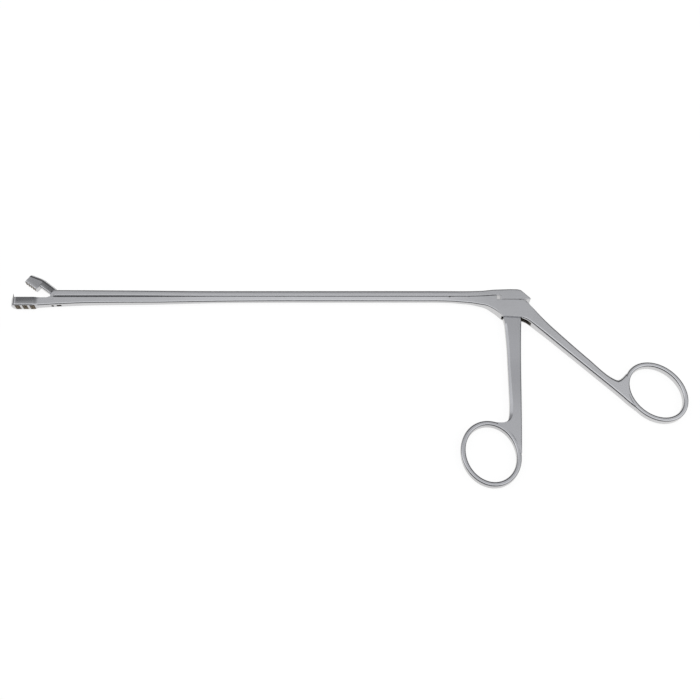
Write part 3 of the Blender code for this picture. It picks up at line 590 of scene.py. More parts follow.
def stain_group():
    """A dull film that lies in patches, as inside the basket and in the slots."""
    name = "dull_film"
    if name in bpy.data.node_groups:
        return bpy.data.node_groups[name]
    patch_scale = 900.0
    bare, covered = 0.35, 0.65
    tree, given, result = new_group(name, (("Place", "Vector"), ("Colour", "Color"), ("Film", "Color")),
                                    (("Colour", "Color"),))
    patches = noise(tree, given.outputs["Place"], patch_scale, 4.0, Roughness=0.65)
    mixed = add_node(tree, "Mix", {"Factor": eased(tree, patches, bare, covered), 6: given.outputs["Colour"],
                                   7: given.outputs["Film"]}, data_type="RGBA")
    feed(tree, result, {"Colour": mixed.outputs[2]})
    return tree


def steel(name, base, roughness, turn=0.0, film=None, metal=1.0):
    """Satin steel whose brush marks run along X, turned about Z by an angle; the film darkens it."""
    if name in bpy.data.materials:
        return bpy.data.materials[name]
    finishes = bpy.context.scene.forceps_finishes
    material = bpy.data.materials.new(name)
    material.use_nodes = True
    material.diffuse_color = (*base, 1.0)
    tree = material.node_tree
    place = add_node(tree, "TexCoord").outputs["Object"]
    aligned = add_node(tree, "Mapping", {"Vector": place, "Rotation": (0.0, 0.0, -turn)})
    across = 1 / finishes.grain_width
    grain = add_node(tree, "Mapping", {"Vector": aligned.outputs[0],
                                       "Scale": (1 / finishes.grain_length, across, across)})
    tint = (*base, 1.0)
    if film is not None:
        tint = add_node(tree, "Group", {"Place": place, "Colour": tint, "Film": (*film, 1.0)},
                        node_tree=stain_group()).outputs["Colour"]
    brushed = add_node(tree, "Group", {"Grain": grain.outputs[0], "Place": place, "Colour": tint,
                                       "Tone": finishes.tone, "Roughness": roughness},
                       node_tree=brush_group())
    bump = add_node(tree, "Bump", {"Height": brushed.outputs["Height"], "Strength": 1.0,
                                   "Distance": finishes.grain_depth})
    feed(tree, tree.nodes["Principled BSDF"], {
        "Base Color": brushed.outputs["Colour"], "Roughness": brushed.outputs["Roughness"],
        "Normal": bump.outputs[0], "Metallic": metal})
    return material


def satin_steel():
    """The finish of the forging, the bar, the upper jaw and the pins."""
    finishes = bpy.context.scene.forceps_finishes
    return steel("satin_finish", finishes.satin, finishes.roughness)


def lever_steel():
    """The front lever's steel, brushed along it, in a colour painted darker than the satin as painted shade
    on its faces.
    """
    finishes = bpy.context.scene.forceps_finishes
    return steel("lever_finish", finishes.lever, finishes.roughness, math.radians(90))


def dull_steel(name, base):
    """The duller finish inside the cuts, with patches of film a quarter darker than the rest; the slots' dark
    base colour is painted shade.
    """
    finishes = bpy.context.scene.forceps_finishes
    film = tuple(0.75 * part for part in base)
    return steel(name, base, finishes.inner_roughness, 0.0, film, finishes.inner_metal)


def inner_steel():
    """The finish inside the basket and its windows."""
    return dull_steel("inner_finish", bpy.context.scene.forceps_finishes.inner)


def slot_shade_steel():
    """Painted shade: a dark finish that stands in for the shade in the slots, holes and grooves."""
    return dull_steel("slot_finish", bpy.context.scene.forceps_finishes.slot)


def thickness_curve():
    """Half the thickness along the shaft, the body and the rear handle, shared by the sliding bar."""
    sizes = bpy.context.scene.forceps_forging
    return [[(JAW_ROOT_X, sizes.front_half), (JAW_PIVOT_X + 0.0313, sizes.front_half),
             (SHAFT_SLIM_X, sizes.shaft_half), (BODY_FRONT_X, sizes.shaft_half),
             (BODY_FULL_X - 0.0150, sizes.shaft_half + 0.0001),
             (BODY_FULL_X - 0.0080, sizes.shaft_half + 0.0005), (BODY_FULL_X, MID_Z),
             (SEAT_REAR_X + 0.004, MID_Z), (HANDLE_SLIM_X, sizes.handle_half),
             (HANDLE_END_X, HANDLE_RING_HALF)]]


def lower_edge():
    """The forging's edge towards -Y, from the basket to the rear ring."""
    front = (JAW_PIVOT_X + 0.0013, SHAFT_FRONT_BOTTOM_Y)
    even = (SHAFT_EVEN_X, SHAFT_BOTTOM_Y)
    belly = (BODY_FRONT_X, SHAFT_BOTTOM_Y)
    corner = (BODY_CORNER_X, BODY_CORNER_Y)
    mouth = (MOUTH_REAR_X, MOUTH_REAR_Y)
    sweep = ((0.14, 0.38), (0.27, 0.48), (0.39, 0.53), (0.51, 0.67), (0.69, 0.90))
    swell = ((0.25, 0.020), (0.38, 0.065), (0.53, 0.120), (0.67, 0.230), (0.745, 0.300), (0.79, 0.375),
             (0.84, 0.500), (0.895, 0.650))
    return [
        [(JAW_ROOT_X, JAW_BOTTOM_Y + 0.0003), front, *between(front, even, sweep), even, belly,
         *between(belly, corner, swell), corner],
        [corner, mouth],
        [mouth, *around(*mouth, ((0.0029, -0.0014), (0.0094, -0.0070), (0.0195, -0.0163))),
         *around(REAR_RING_X, REAR_RING_Y, ((-0.0335, 0.0113), (-0.0182, -0.0029), (-0.0148, -0.0063),
                                            (-0.0113, -0.0092)))]]


def upper_edge():
    """The forging's edge towards +Y: rim, joint line, seat, rear handle and the web of its ring."""
    ring = (REAR_RING_X, REAR_RING_Y)
    return [
        [(JAW_ROOT_X, JAW_RIM_Y), (STEP_FRONT_X, JAW_RIM_Y), (STEP_REAR_X, SHAFT_TOP_Y),
         (SEAT_STEP_X, SHAFT_TOP_Y)],
        [(SEAT_STEP_X + SEAT_STEP_RUN, SEAT_Y), (SEAT_REAR_X, SEAT_Y - 0.0001),
         *around(SEAT_REAR_X, SEAT_Y, ((0.0021, -0.0008), (0.0035, -0.0019), (0.0047, -0.0035),
                                       (0.0064, -0.0053), (0.0094, -0.0087), (0.0173, -0.0169))),
         *around(*ring, ((-0.0344, 0.0190), (-0.0222, 0.0078), (-0.0193, 0.0066), (-0.0172, 0.0078),
                         (-0.0148, 0.0103)))],
        around(*ring, ((-0.0145, -0.0002), (-0.0133, -0.0037), (-0.0113, -0.0072)))]


def joint_rounding():
    """Rounding along the joint line as knots: larger behind the jaws, and fine from the slim shaft on."""
    sizes = bpy.context.scene.forceps_forging
    return [(JAW_ROOT_X, sizes.joint_edge), (STEP_REAR_X, sizes.joint_edge),
            (JAW_PIVOT_X + 0.0020, sizes.front_joint_edge), (JAW_PIVOT_X + 0.0360, sizes.front_joint_edge),
            (SHAFT_SLIM_X, sizes.joint_edge)]


def forging_form(material):
    """Shaft, body and rear handle: rounded sections carried along x between the two edge curves."""
    sizes = bpy.context.scene.forceps_forging
    thickness = thickness_curve()
    lower = lower_edge()
    upper = upper_edge()
    lower_rounding = [[(JAW_ROOT_X, sizes.shaft_edge), (BODY_FULL_X, sizes.shaft_edge),
                       (BODY_CORNER_X, sizes.mouth_edge), (MOUTH_REAR_X, sizes.mouth_edge),
                       (MOUTH_REAR_X + 0.0030, sizes.shaft_edge), (HANDLE_SLIM_X, sizes.handle_edge),
                       (HANDLE_END_X, sizes.handle_edge)]]
    upper_rounding = [[*joint_rounding(), (SEAT_REAR_X, sizes.joint_edge),
                       (HANDLE_SLIM_X, sizes.handle_edge), (HANDLE_END_X, sizes.handle_edge)]]
    taper = [[(JAW_ROOT_X, 0.0), (JAW_PIVOT_X + 0.0200, sizes.taper / 8), (SHAFT_SLIM_X, sizes.taper),
              (BODY_FRONT_X, sizes.taper), (BODY_FULL_X - 0.0080, sizes.taper / 4), (BODY_FULL_X, 0.0),
              (HANDLE_END_X, 0.0)]]
    x = stations(lower + upper + thickness)
    half = joined_curve(thickness, x)
    sections = bar_sections(joined_curve(lower, x), joined_curve(upper, x), half - joined_curve(taper, x),
                            half, joined_curve(lower_rounding, x), joined_curve(upper_rounding, x))
    return skin("frame_forging", upright(x, sections), material)


def finger_ring(name, x, y, long_half, short_half, tilt):
    """A band carried round an ellipse: each section stands along the ellipse's outward normal."""
    sizes = bpy.context.scene.forceps_rings
    section = bar_sections(-sizes.band / 2, sizes.band / 2, sizes.half, sizes.half, sizes.edge, sizes.edge,
                           sizes.crown)[0]
    turn = np.linspace(0, 2 * math.pi, RING_STEPS, endpoint=False)
    line = np.stack((long_half * np.cos(turn), short_half * np.sin(turn)), axis=1)
    outward = np.stack((short_half * np.cos(turn), long_half * np.sin(turn)), axis=1)
    outward /= np.linalg.norm(outward, axis=1, keepdims=True)
    flat = line[:, None] + outward[:, None] * section[None, :, :1]
    turned_x = x + flat[..., 0] * math.cos(tilt) - flat[..., 1] * math.sin(tilt)
    turned_y = y + flat[..., 0] * math.sin(tilt) + flat[..., 1] * math.cos(tilt)
    height = np.broadcast_to(MID_Z + section[:, 1], turned_x.shape)
    return skin(name, np.stack((turned_x, turned_y, height), axis=-1), loop=True)


def basket_form():
    """The basket's outside: its width grows as a sine along the nose, and eases into the shaft."""
    sizes = bpy.context.scene.forceps_forging
    blunt = 0.08
    nose = np.linspace(0, 1, 29)
    nose_x = JAW_TIP_X + JAW_NOSE * (1 - np.cos(math.pi / 2 * nose))
    width = np.sin(math.pi / 2 * np.maximum(nose, blunt))
    nose_rows = upright(nose_x, bar_sections(
        JAW_BOTTOM_Y + JAW_NOSE_LIFT * (1 - width) ** 1.5, JAW_RIM_Y, JAW_BOTTOM_HALF * width,
        JAW_RIM_HALF * width, np.minimum(sizes.shaft_edge, JAW_RIM_HALF * width / 2), sizes.joint_edge,
        sizes.crown * width))
    root_overlap = 0.0012
    t = np.linspace(0, 1, 25)
    ease = t * t * (3 - 2 * t)
    root_low = joined_curve(lower_edge(), np.array([JAW_ROOT_X + root_overlap]))[0] + LAP
    root_half = sizes.front_half - LAP
    blend_rows = upright(JAW_ROOT_X - JAW_BLEND + t * (JAW_BLEND + root_overlap), bar_sections(
        JAW_BOTTOM_Y + ease * (root_low - JAW_BOTTOM_Y), JAW_RIM_Y - LAP * ease,
        JAW_BOTTOM_HALF + ease * (root_half - JAW_BOTTOM_HALF),
        JAW_RIM_HALF + ease * (root_half - JAW_RIM_HALF), sizes.shaft_edge, sizes.joint_edge,
        sizes.crown * (1 - ease)))
    return skin("basket_form", np.concatenate((nose_rows, blend_rows)))


def basket_cavity(material):
    """The hollow of the basket, with the same sine nose inside its walls."""
    sizes = bpy.context.scene.forceps_jaws
    floor = JAW_BOTTOM_Y + sizes.floor
    lean = (JAW_BOTTOM_HALF - JAW_RIM_HALF) / (JAW_RIM_Y - JAW_BOTTOM_Y)
    low_half = JAW_BOTTOM_HALF - sizes.wall - lean * sizes.floor
    high_half = JAW_RIM_HALF - sizes.wall - lean * CUT_OVER
    floor_edge = 0.0003
    spike_room = 0.0002
    blunt = 0.15
    nose = np.linspace(0, 1, 25)
    width = np.sin(math.pi / 2 * np.maximum(nose, blunt))
    nose_x = JAW_TIP_X + sizes.wall + spike_room + (JAW_NOSE - sizes.wall) * (1 - np.cos(math.pi / 2 * nose))
    x = np.append(nose_x, JAW_ROOT_X - floor_edge)
    width = np.append(width, 1.0)
    return skin("basket_cavity", upright(x, bar_sections(
        floor, JAW_RIM_Y + CUT_OVER, low_half * width, high_half * width, floor_edge, 0.0001)), material)


def spike_form():
    """The spike: a four-sided section that shrinks evenly towards its point, with softened edges."""
    sizes = bpy.context.scene.forceps_jaws
    sunk = 0.0004
    blunt = 0.06
    rake = 0.15
    root = sizes.floor + sunk
    width = np.linspace(1.0, blunt, 14)
    y = JAW_RIM_Y - root + (root + sizes.spike_height) * (1 - width)
    front = JAW_TIP_X + SPIKE_SETBACK + SPIKE_BASE * rake * (1 - width)
    half = SPIKE_WIDTH / 2 * width
    edge = 0.0001 * width
    sections = bar_sections(front, front + SPIKE_BASE * width, half, half, edge, edge)
    return skin("spike_form", level_with(y, sections))


def jaw_cuts():
    """Windows, the slot for the upper jaw's tail, its drains and the hole of the jaw's pin."""
    sizes = bpy.context.scene.forceps_jaws
    # Painted shade in the tail's slot, its drains and the pin's hole
    material = slot_shade_steel()
    cuts = []
    for number in range(WINDOW_COUNT):
        x = JAW_TIP_X + WINDOW_SETBACK + (sizes.window_length + sizes.window_bridge) * number
        window = rectangle(x, x + sizes.window_length, MID_Z - sizes.window_half, MID_Z + sizes.window_half,
                           sizes.window_corner)
        cuts.append(prism(f"window_{number + 1}", window, JAW_BOTTOM_Y - CUT_OVER,
                          JAW_BOTTOM_Y + sizes.floor + SLIDE_GAP, inner_steel(), axis=1))
    slot_floor = JAW_PIVOT_Y - TAIL_EYE_RADIUS - TAIL_GAP
    cuts.append(plate("jaw_slot", rectangle(JAW_PIVOT_X - ARM_SHOULDER - TAIL_GAP * 2,
                                            JAW_PIVOT_X + TAIL_EYE_RADIUS + TAIL_GAP * 2, slot_floor,
                                            SHAFT_TOP_Y + CUT_OVER), TAIL_HALF + TAIL_GAP, material))
    drain_half = TAIL_HALF + TAIL_GAP
    drain_x = JAW_PIVOT_X + DRAIN_SETBACK
    key_bottom = JOINT_Y - KEY_NECK - KEY_HEAD
    drains = (("slot_drain", drain_x - DRAIN_LENGTH / 2, drain_x + DRAIN_LENGTH / 2, slot_floor + SLIDE_GAP),
              ("key_drain", KEY_REST_X[0] - key_travel(), KEY_REST_X[0] + DRAIN_SETBACK * 2, key_bottom))
    for name, start, end, top in drains:
        outline = rectangle(start, end, MID_Z - drain_half, MID_Z + drain_half, DRAIN_LENGTH * 0.4)
        cuts.append(prism(name, outline, JAW_BOTTOM_Y - CUT_OVER, top, material, axis=1))
    jaw_pin_x, jaw_pin_y, jaw_pin_radius = pin_circle("jaw_pivot_pin")
    cuts.append(round_hole("jaw_pin_hole", (jaw_pin_x, jaw_pin_y), jaw_pin_radius + FLUSH_GAP, material))
    return cuts


def pin_circle(node):
    """Centre and radius of a pin's solid in the frame."""
    low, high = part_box(node)
    return (low.x + high.x) / 2, (low.y + high.y) / 2, (high.x - low.x) / 2


def key_travel():
    """The bar's stroke: the chord that the lever's nose swings through, evenly about the vertical."""
    return 2 * NOSE_REACH * math.sin(LEVER_RANGE / 2)


def nose_place():
    """Where the lever's nose stands at rest."""
    lean = LEVER_RANGE / 2
    return NOSE_REACH * math.sin(lean), NOSE_REACH * math.cos(lean)


def groove_cuts(material):
    """The T-shaped grooves of the bar's keys, open at the joint line, and the relief before the last."""
    cuts = []
    key_bottom = JOINT_Y - KEY_NECK - KEY_HEAD
    for number, rest_x in enumerate(KEY_REST_X, 1):
        front = rest_x - key_travel() - RUNNING_GAP
        rear = rest_x + KEY_LENGTH + RUNNING_GAP
        for part, bottom, top, half in (
                ("neck", key_bottom, SHAFT_TOP_Y + CUT_OVER, KEY_NECK_HALF),
                ("head", key_bottom - RUNNING_GAP, JOINT_Y - KEY_NECK + RUNNING_GAP, KEY_HEAD_HALF)):
            cuts.append(plate(f"groove_{part}_{number}", rectangle(front, rear, bottom, top), half + SIDE_GAP,
                              material))
    relief_x = KEY_REST_X[-1] - key_travel() - RUNNING_GAP
    cuts.append(plate("relief", rectangle(relief_x, relief_x + RELIEF_LENGTH, SHAFT_TOP_Y - RELIEF_DEPTH,
                                          SHAFT_TOP_Y + CUT_OVER), MID_Z, material))
    return cuts


def mortise_cut(material):
    """The slot through the body that takes the lever's tongue in every place it swings to."""
    front_spare = 0.0004
    rear_reach, rear_drop = 0.0060, 0.0048
    roof_share = 0.62
    swing_spare = math.radians(3)
    opening = BOSS_RADIUS + RUNNING_GAP * 2
    swing = LEVER_RANGE + swing_spare
    mouth_front = BODY_CORNER_X - front_spare
    lip_y = (BODY_CORNER_Y + MOUTH_REAR_Y) / 2 - CUT_OVER * 5
    rear_low = MOUTH_REAR_X + rear_reach
    outline = [(mouth_front, lip_y), (rear_low, lip_y), (rear_low, MOUTH_REAR_Y - rear_drop),
               turned((LEVER_WIDE_TOP_X + RUNNING_GAP * 3, MOUTH_REAR_Y * roof_share), swing)]
    outline += arc((0, 0), opening, 20, 60).tolist()
    outline += [(opening / 2, SEAT_Y + CUT_OVER), (-opening / 2, SEAT_Y + CUT_OVER)]
    outline += arc((0, 0), opening, 120, 200).tolist()
    outline += [(mouth_front - front_spare, BODY_CORNER_Y / 2), (mouth_front, BODY_CORNER_Y)]
    tongue_half = bpy.context.scene.forceps_lever.tongue_half
    return plate("lever_mortise", outline, tongue_half + SIDE_GAP, material)


def head_place(sizes):
    """The matrix that swings the closed upper jaw open about its pivot."""
    return (Matrix.Translation((JAW_PIVOT_X, JAW_PIVOT_Y, MID_Z))
            @ Matrix.Rotation(-sizes.open_angle, 4, "Z"))


def head_back(x):
    """Height of the upper jaw's back above its pivot."""
    rear = HEAD_LENGTH - HEAD_FRONT
    arm_fall = 0.0002
    return smooth_curve([(-HEAD_FRONT, HEAD_FRONT_HEIGHT), (rear, ARM_BACK_HEIGHT),
                         (-ARM_SHOULDER, ARM_BACK_HEIGHT - arm_fall)], x)


def head_form(material):
    """Head and arm as one bar along x, whose rim rises behind the head to the arm's underside."""
    sizes = bpy.context.scene.forceps_jaws
    head_half = JAW_RIM_HALF - sizes.wall - HEAD_SIDE_GAP
    rear = HEAD_LENGTH - HEAD_FRONT
    rim = [[(-HEAD_FRONT, -HEAD_RIM_BELOW), (rear, -HEAD_RIM_BELOW)],
           [(rear, -HEAD_RIM_BELOW), (rear + HEAD_HEEL / 2, -HEAD_RIM_BELOW * 0.2),
            (rear + HEAD_HEEL, ARM_UNDER_HEIGHT)],
           [(rear + HEAD_HEEL, ARM_UNDER_HEIGHT), (-ARM_SHOULDER, ARM_UNDER_HEIGHT)]]
    lean = [(-HEAD_FRONT, HEAD_SIDE_LEAN), (-ARM_SHOULDER, ARM_SIDE_LEAN)]
    x = stations(rim, FINE_STEP)
    sections = bar_sections(joined_curve(rim, x), head_back(x), head_half, head_half - smooth_curve(lean, x),
                            sizes.rim_edge, HEAD_BACK_EDGE - smooth_curve(lean, x), steps=8)
    rake = np.where(x == x[-1], ARM_SHOULDER_RAKE / (ARM_BACK_HEIGHT - ARM_UNDER_HEIGHT), 0.0)
    raked_x = x[:, None] + rake[:, None] * (sections[..., 0] - ARM_UNDER_HEIGHT)
    grid = np.stack((raked_x, sections[..., 0], sections[..., 1]), axis=-1)
    return skin("toothed_jaw", grid, material)


def tail_form(drive, lean_degrees):
    """The tail: its eye on the pivot, its lobe round the drive pin, and its root in the arm."""
    root_x = -ARM_SHOULDER - 0.0006
    outline = arc((0, 0), TAIL_EYE_RADIUS, 215, 370, 28).tolist()
    outline += arc(drive, TAIL_HEAD_RADIUS, lean_degrees - 10, lean_degrees + 100).tolist()
    outline += [(root_x, ARM_UNDER_HEIGHT + 0.0024), (root_x, ARM_UNDER_HEIGHT + 0.0003),
                (-ARM_SHOULDER + 0.0001, ARM_UNDER_HEIGHT + LAP)]
    return plate("tail_form", outline, TAIL_HALF, None, 0.0)


def head_cuts(material, drive, lean):
    """The head's hollow, the gaps between its teeth, the eye and the slot of the drive pin."""
    sizes = bpy.context.scene.forceps_jaws
    rear = HEAD_LENGTH - HEAD_FRONT
    hollow_half = JAW_RIM_HALF - sizes.wall - HEAD_SIDE_GAP - HEAD_WALL
    rear_wall = 0.0008
    rim_corner, roof_corner = 0.0001, 0.0004
    x = np.linspace(HEAD_WALL - HEAD_FRONT, rear - rear_wall, 16)
    hollow = bar_sections(-HEAD_RIM_BELOW - CUT_OVER, head_back(x) - HEAD_ROOF, hollow_half, hollow_half,
                          rim_corner, roof_corner)
    level = np.broadcast_to(x[:, None], hollow.shape[:2])
    cuts = [skin("head_hollow", np.stack((level, hollow[..., 0], hollow[..., 1]), axis=-1), material)]
    mouth_y = -HEAD_RIM_BELOW - 0.0003
    root_y = -HEAD_RIM_BELOW + sizes.tooth_depth
    wide = sizes.tooth_gap_half
    for number in range(TOOTH_COUNT):
        middle = TOOTH_SETBACK + TOOTH_PITCH * number - HEAD_FRONT
        outline = [(middle - wide, mouth_y), (middle + wide, mouth_y),
                   (middle + wide / 4, root_y), (middle - wide / 4, root_y)]
        cuts.append(plate(f"tooth_gap_{number + 1}", outline, 2 * MID_Z, material, 0.0))
    eye_radius = pin_circle("jaw_pivot_pin")[2] + PIN_GAP
    cuts.append(plate("jaw_eye", circle((0, 0), eye_radius), 2 * MID_Z, material, 0.0))
    drive_reach = math.hypot(*drive)
    half = pin_circle("jaw_drive_pin")[2] + RUNNING_GAP
    along = np.array(drive) / drive_reach
    near = np.array(drive) - along * (drive_reach * (1 - math.cos(lean)) + PIN_GAP)
    far = np.array(drive) + along * PIN_GAP
    start = math.degrees(lean)
    slot = np.concatenate((arc(far, half, start, start + 180), arc(near, half, start + 180, start + 360)))
    cuts.append(plate("drive_slot", slot, 2 * MID_Z, material, 0.0))
    return cuts


def lever_curves():
    """The lever's left and right edges as (y, x) knots, from beside its ring up to the body."""
    ring = (FRONT_RING_Y, FRONT_RING_X)
    left = [
        around(*ring, ((0.0002, 0.0144), (0.0052, 0.0136), (0.0087, 0.0120), (0.0116, 0.0094),
                       (0.0136, 0.0068), (0.0150, 0.0036), (0.0162, 0.0039))),
        [*around(*ring, ((0.0162, 0.0039), (0.0164, 0.0072), (0.0170, 0.0087), (0.0181, 0.00965),
                         (0.0213, 0.0103), (0.0278, 0.0107))),
         (-0.0260, LEVER_NARROW_TOP_X + 0.00075), (-0.0124, LEVER_NARROW_TOP_X + 0.0003),
         (LEVER_TOP_Y, LEVER_NARROW_TOP_X)]]
    right = [
        [*around(*ring, ((0.0002, 0.0156), (0.0085, 0.0161))), (-0.0260, LEVER_WIDE_TOP_X - 0.0010),
         (LEVER_TOP_Y - 0.0020, LEVER_WIDE_TOP_X - 0.0001), (LEVER_TOP_Y, LEVER_WIDE_TOP_X)]]
    return left, right


def lever_form(material):
    """The lever's arm: sections along y with a flat bevel on the front edge and rounded rear edges."""
    sizes = bpy.context.scene.forceps_lever
    rings = bpy.context.scene.forceps_rings
    foot = FRONT_RING_Y + 0.0002
    scoop = FRONT_RING_Y + 0.0213
    left, right = lever_curves()
    web_half = rings.half + rings.crown
    half = [[(foot, rings.half - LAP * 2), (FRONT_RING_Y + 0.0045, web_half),
             (FRONT_RING_Y + 0.0242, sizes.low_half),
             (LEVER_THIN_Y * 2, sizes.low_half * 0.8), (LEVER_THIN_Y, sizes.tongue_half),
             (LEVER_TOP_Y, sizes.tongue_half)]]
    edge = [[(foot, sizes.edge / 2), (FRONT_RING_Y + 0.0085, sizes.edge), (LEVER_THIN_Y * 2, sizes.edge),
             (LEVER_THIN_Y, sizes.tongue_half * 0.5), (LEVER_TOP_Y, sizes.tongue_half * 0.4)]]
    bevel = [[(foot, LAP * 2), (FRONT_RING_Y + 0.0150, LAP * 2), (FRONT_RING_Y + 0.0175, sizes.edge),
              (scoop, sizes.bevel),
              (LEVER_THIN_Y * 2, sizes.bevel * 0.75), (LEVER_THIN_Y, sizes.tongue_half * 0.7),
              (LEVER_TOP_Y, sizes.tongue_half * 0.4)]]
    y = stations(left + right + half + bevel)
    low_x = joined_curve(left, y)
    high_x = joined_curve(right, y)
    thick = joined_curve(half, y)
    bevel_slope = 0.35
    most_across = (high_x - low_x) * 0.4
    most_deep = thick * 0.6
    width = np.minimum(joined_curve(bevel, y), most_across)
    depth = np.minimum(width * bevel_slope, most_deep)
    rear = np.minimum(joined_curve(edge, y), most_across)
    corners = np.stack([np.stack(pair, axis=-1) for pair in (
        (low_x, depth - thick), (low_x + width, -thick), (high_x, -thick),
        (high_x, thick), (low_x + width, thick), (low_x, thick - depth))], axis=1)
    soft = np.minimum(width, depth) * 0.3
    reach = np.stack([soft, soft, rear, rear, soft, soft], axis=1)
    sections = softened(corners, reach)
    return skin("hand_lever", level_with(y, sections), material)


def web_form():
    """The web that runs from the lever's crook on to the top of the front ring's band."""
    rings = bpy.context.scene.forceps_rings
    outline = around(FRONT_RING_X, FRONT_RING_Y,
                     ((-0.0008, 0.0160), (0.0036, 0.0149), (0.0068, 0.0135), (0.0094, 0.0150),
                      (0.0084, 0.0165), (0.0072, 0.01635), (0.0054, 0.01635), (0.0036, 0.01645),
                      (0.0018, 0.0166)))
    return plate("web_form", outline, rings.half - rings.edge / 4)


def tongue_form():
    """The tongue in the body: the round boss on the pivot, and the neck with the nose that drives the bar."""
    lean = LEVER_RANGE / 2
    lean_degrees = math.degrees(lean)
    side = np.array((math.cos(lean), -math.sin(lean))) * NECK_HALF
    root = np.array((math.sin(lean), math.cos(lean))) * BOSS_RADIUS * 0.98
    inset = LAP * 5
    rear_x = LEVER_WIDE_TOP_X - inset * 2
    lap_y = LEVER_TOP_Y - 0.0025
    outline = [(LEVER_NARROW_TOP_X + inset, lap_y), (rear_x, lap_y), (rear_x, LEVER_TOP_Y + inset)]
    outline += arc((0, 0), BOSS_RADIUS, -15, 66 - lean_degrees).tolist()
    outline += [tuple(root + side)]
    outline += arc(nose_place(), NOSE_RADIUS, -52 - lean_degrees, 232 - lean_degrees, 32).tolist()
    outline += [tuple(root - side)]
    outline += arc((0, 0), BOSS_RADIUS, 114 - lean_degrees, 205).tolist()
    return plate("tongue_form", outline, bpy.context.scene.forceps_lever.tongue_half - LAP / 2)


def pin_form(name, node, material):
    """A pin: its profile's radius falls off at both ends by a small chamfer as it is turned about z."""
    x, y, radius = pin_circle(node)
    low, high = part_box(node)
    chamfer = 0.00001
    heights = np.array((low.z, low.z + chamfer, high.z - chamfer, high.z))
    radii = np.array((radius - chamfer, radius, radius, radius - chamfer))
    rows = [np.insert(circle((x, y), r), 2, z, axis=1) for z, r in zip(heights, radii)]
    return skin(name, np.stack(rows), material)


def bar_form(material):
    """The bar from its nose to its beak: rounded sections between its top and its stepped underside."""
    sizes = bpy.context.scene.forceps_bar
    forging = bpy.context.scene.forceps_forging
    block_front_x = SEAT_STEP_X + SEAT_STEP_RUN + key_travel() + STOP_GAP
    block_bottom_y = SEAT_Y + SLIDE_GAP / 2
    top = [[(BAR_NOSE_TOP_X, BAR_FRONT_TOP_Y), (SHAFT_SLIM_X, BAR_TOP_Y), (BODY_FRONT_X, BAR_TOP_Y),
            (BODY_FULL_X - 0.0148, BAR_TOP_Y - BAR_WAIST), (BODY_FULL_X - 0.0084, BAR_TOP_Y - BAR_WAIST),
            (BODY_FULL_X + 0.0012, BAR_TOP_Y + BAR_WAIST), (BAR_CREST_X, BAR_CREST_Y),
            (BAR_SHOULDER_X - 0.0019, BAR_CREST_Y - 0.00008), (BAR_SHOULDER_X, BAR_SHOULDER_Y)],
           [(BAR_SHOULDER_X, BAR_SHOULDER_Y), (BAR_BEAK_X, BAR_BEAK_Y)]]
    bottom = [[(BAR_NOSE_TOP_X, BAR_BOTTOM_Y), (block_front_x - SEAT_STEP_RUN, BAR_BOTTOM_Y)],
              [(block_front_x, block_bottom_y), (BAR_BEAK_X, block_bottom_y)]]
    rounding = [[(BAR_NOSE_TOP_X, sizes.top_edge), (BODY_FRONT_X, sizes.top_edge),
                 (BODY_FULL_X, sizes.top_edge * 0.8), (BAR_SHOULDER_X, sizes.top_edge * 0.7),
                 (BAR_BEAK_X, sizes.top_edge * 0.5)]]
    crown = [[(BAR_NOSE_TOP_X, 0.0), (SHAFT_SLIM_X, sizes.crown), (BODY_FRONT_X, sizes.crown),
              (BODY_FULL_X, 0.0), (BAR_BEAK_X, 0.0)]]
    thickness = thickness_curve()
    x = stations(top + bottom + thickness)
    x = x[(x >= BAR_NOSE_TOP_X) & (x <= BAR_BEAK_X)]
    half = joined_curve(thickness, x)
    body_rows = upright(x, bar_sections(joined_curve(bottom, x), joined_curve(top, x), half, half,
                                        joined_curve([joint_rounding()], x), joined_curve(rounding, x),
                                        joined_curve(crown, x)))
    rise = (BAR_FRONT_TOP_Y - BAR_NOSE_Y) / (BAR_NOSE_TOP_X - BAR_NOSE_X)
    lip = forging.joint_edge * 2
    nose_low = np.array((BAR_NOSE_Y - lip, BAR_BOTTOM_Y))
    nose_high = np.array((BAR_NOSE_Y + lip, BAR_NOSE_Y + rise * (BAR_NOSE_BOTTOM_X - BAR_NOSE_X)))
    nose_rows = upright((BAR_NOSE_X, BAR_NOSE_BOTTOM_X), bar_sections(
        nose_low, nose_high, forging.front_half, forging.front_half, forging.joint_edge, forging.joint_edge))
    return skin("slide_bar", np.concatenate((nose_rows, body_rows)), material)


def bar_keys():
    """The T-shaped keys: a narrow neck and a wider head for each."""
    neck_top = BAR_BOTTOM_Y + bpy.context.scene.forceps_forging.shaft_edge
    head_top = JOINT_Y - KEY_NECK
    head_bottom = JOINT_Y - KEY_NECK - KEY_HEAD
    keys = []
    for number, x in enumerate(KEY_REST_X, 1):
        for part, bottom, top, half in (("neck", head_top - SLIDE_GAP, neck_top, KEY_NECK_HALF),
                                        ("head", head_bottom, head_top, KEY_HEAD_HALF)):
            keys.append(plate(f"key_{part}_{number}", rectangle(x, x + KEY_LENGTH, bottom, top), half))
    return keys


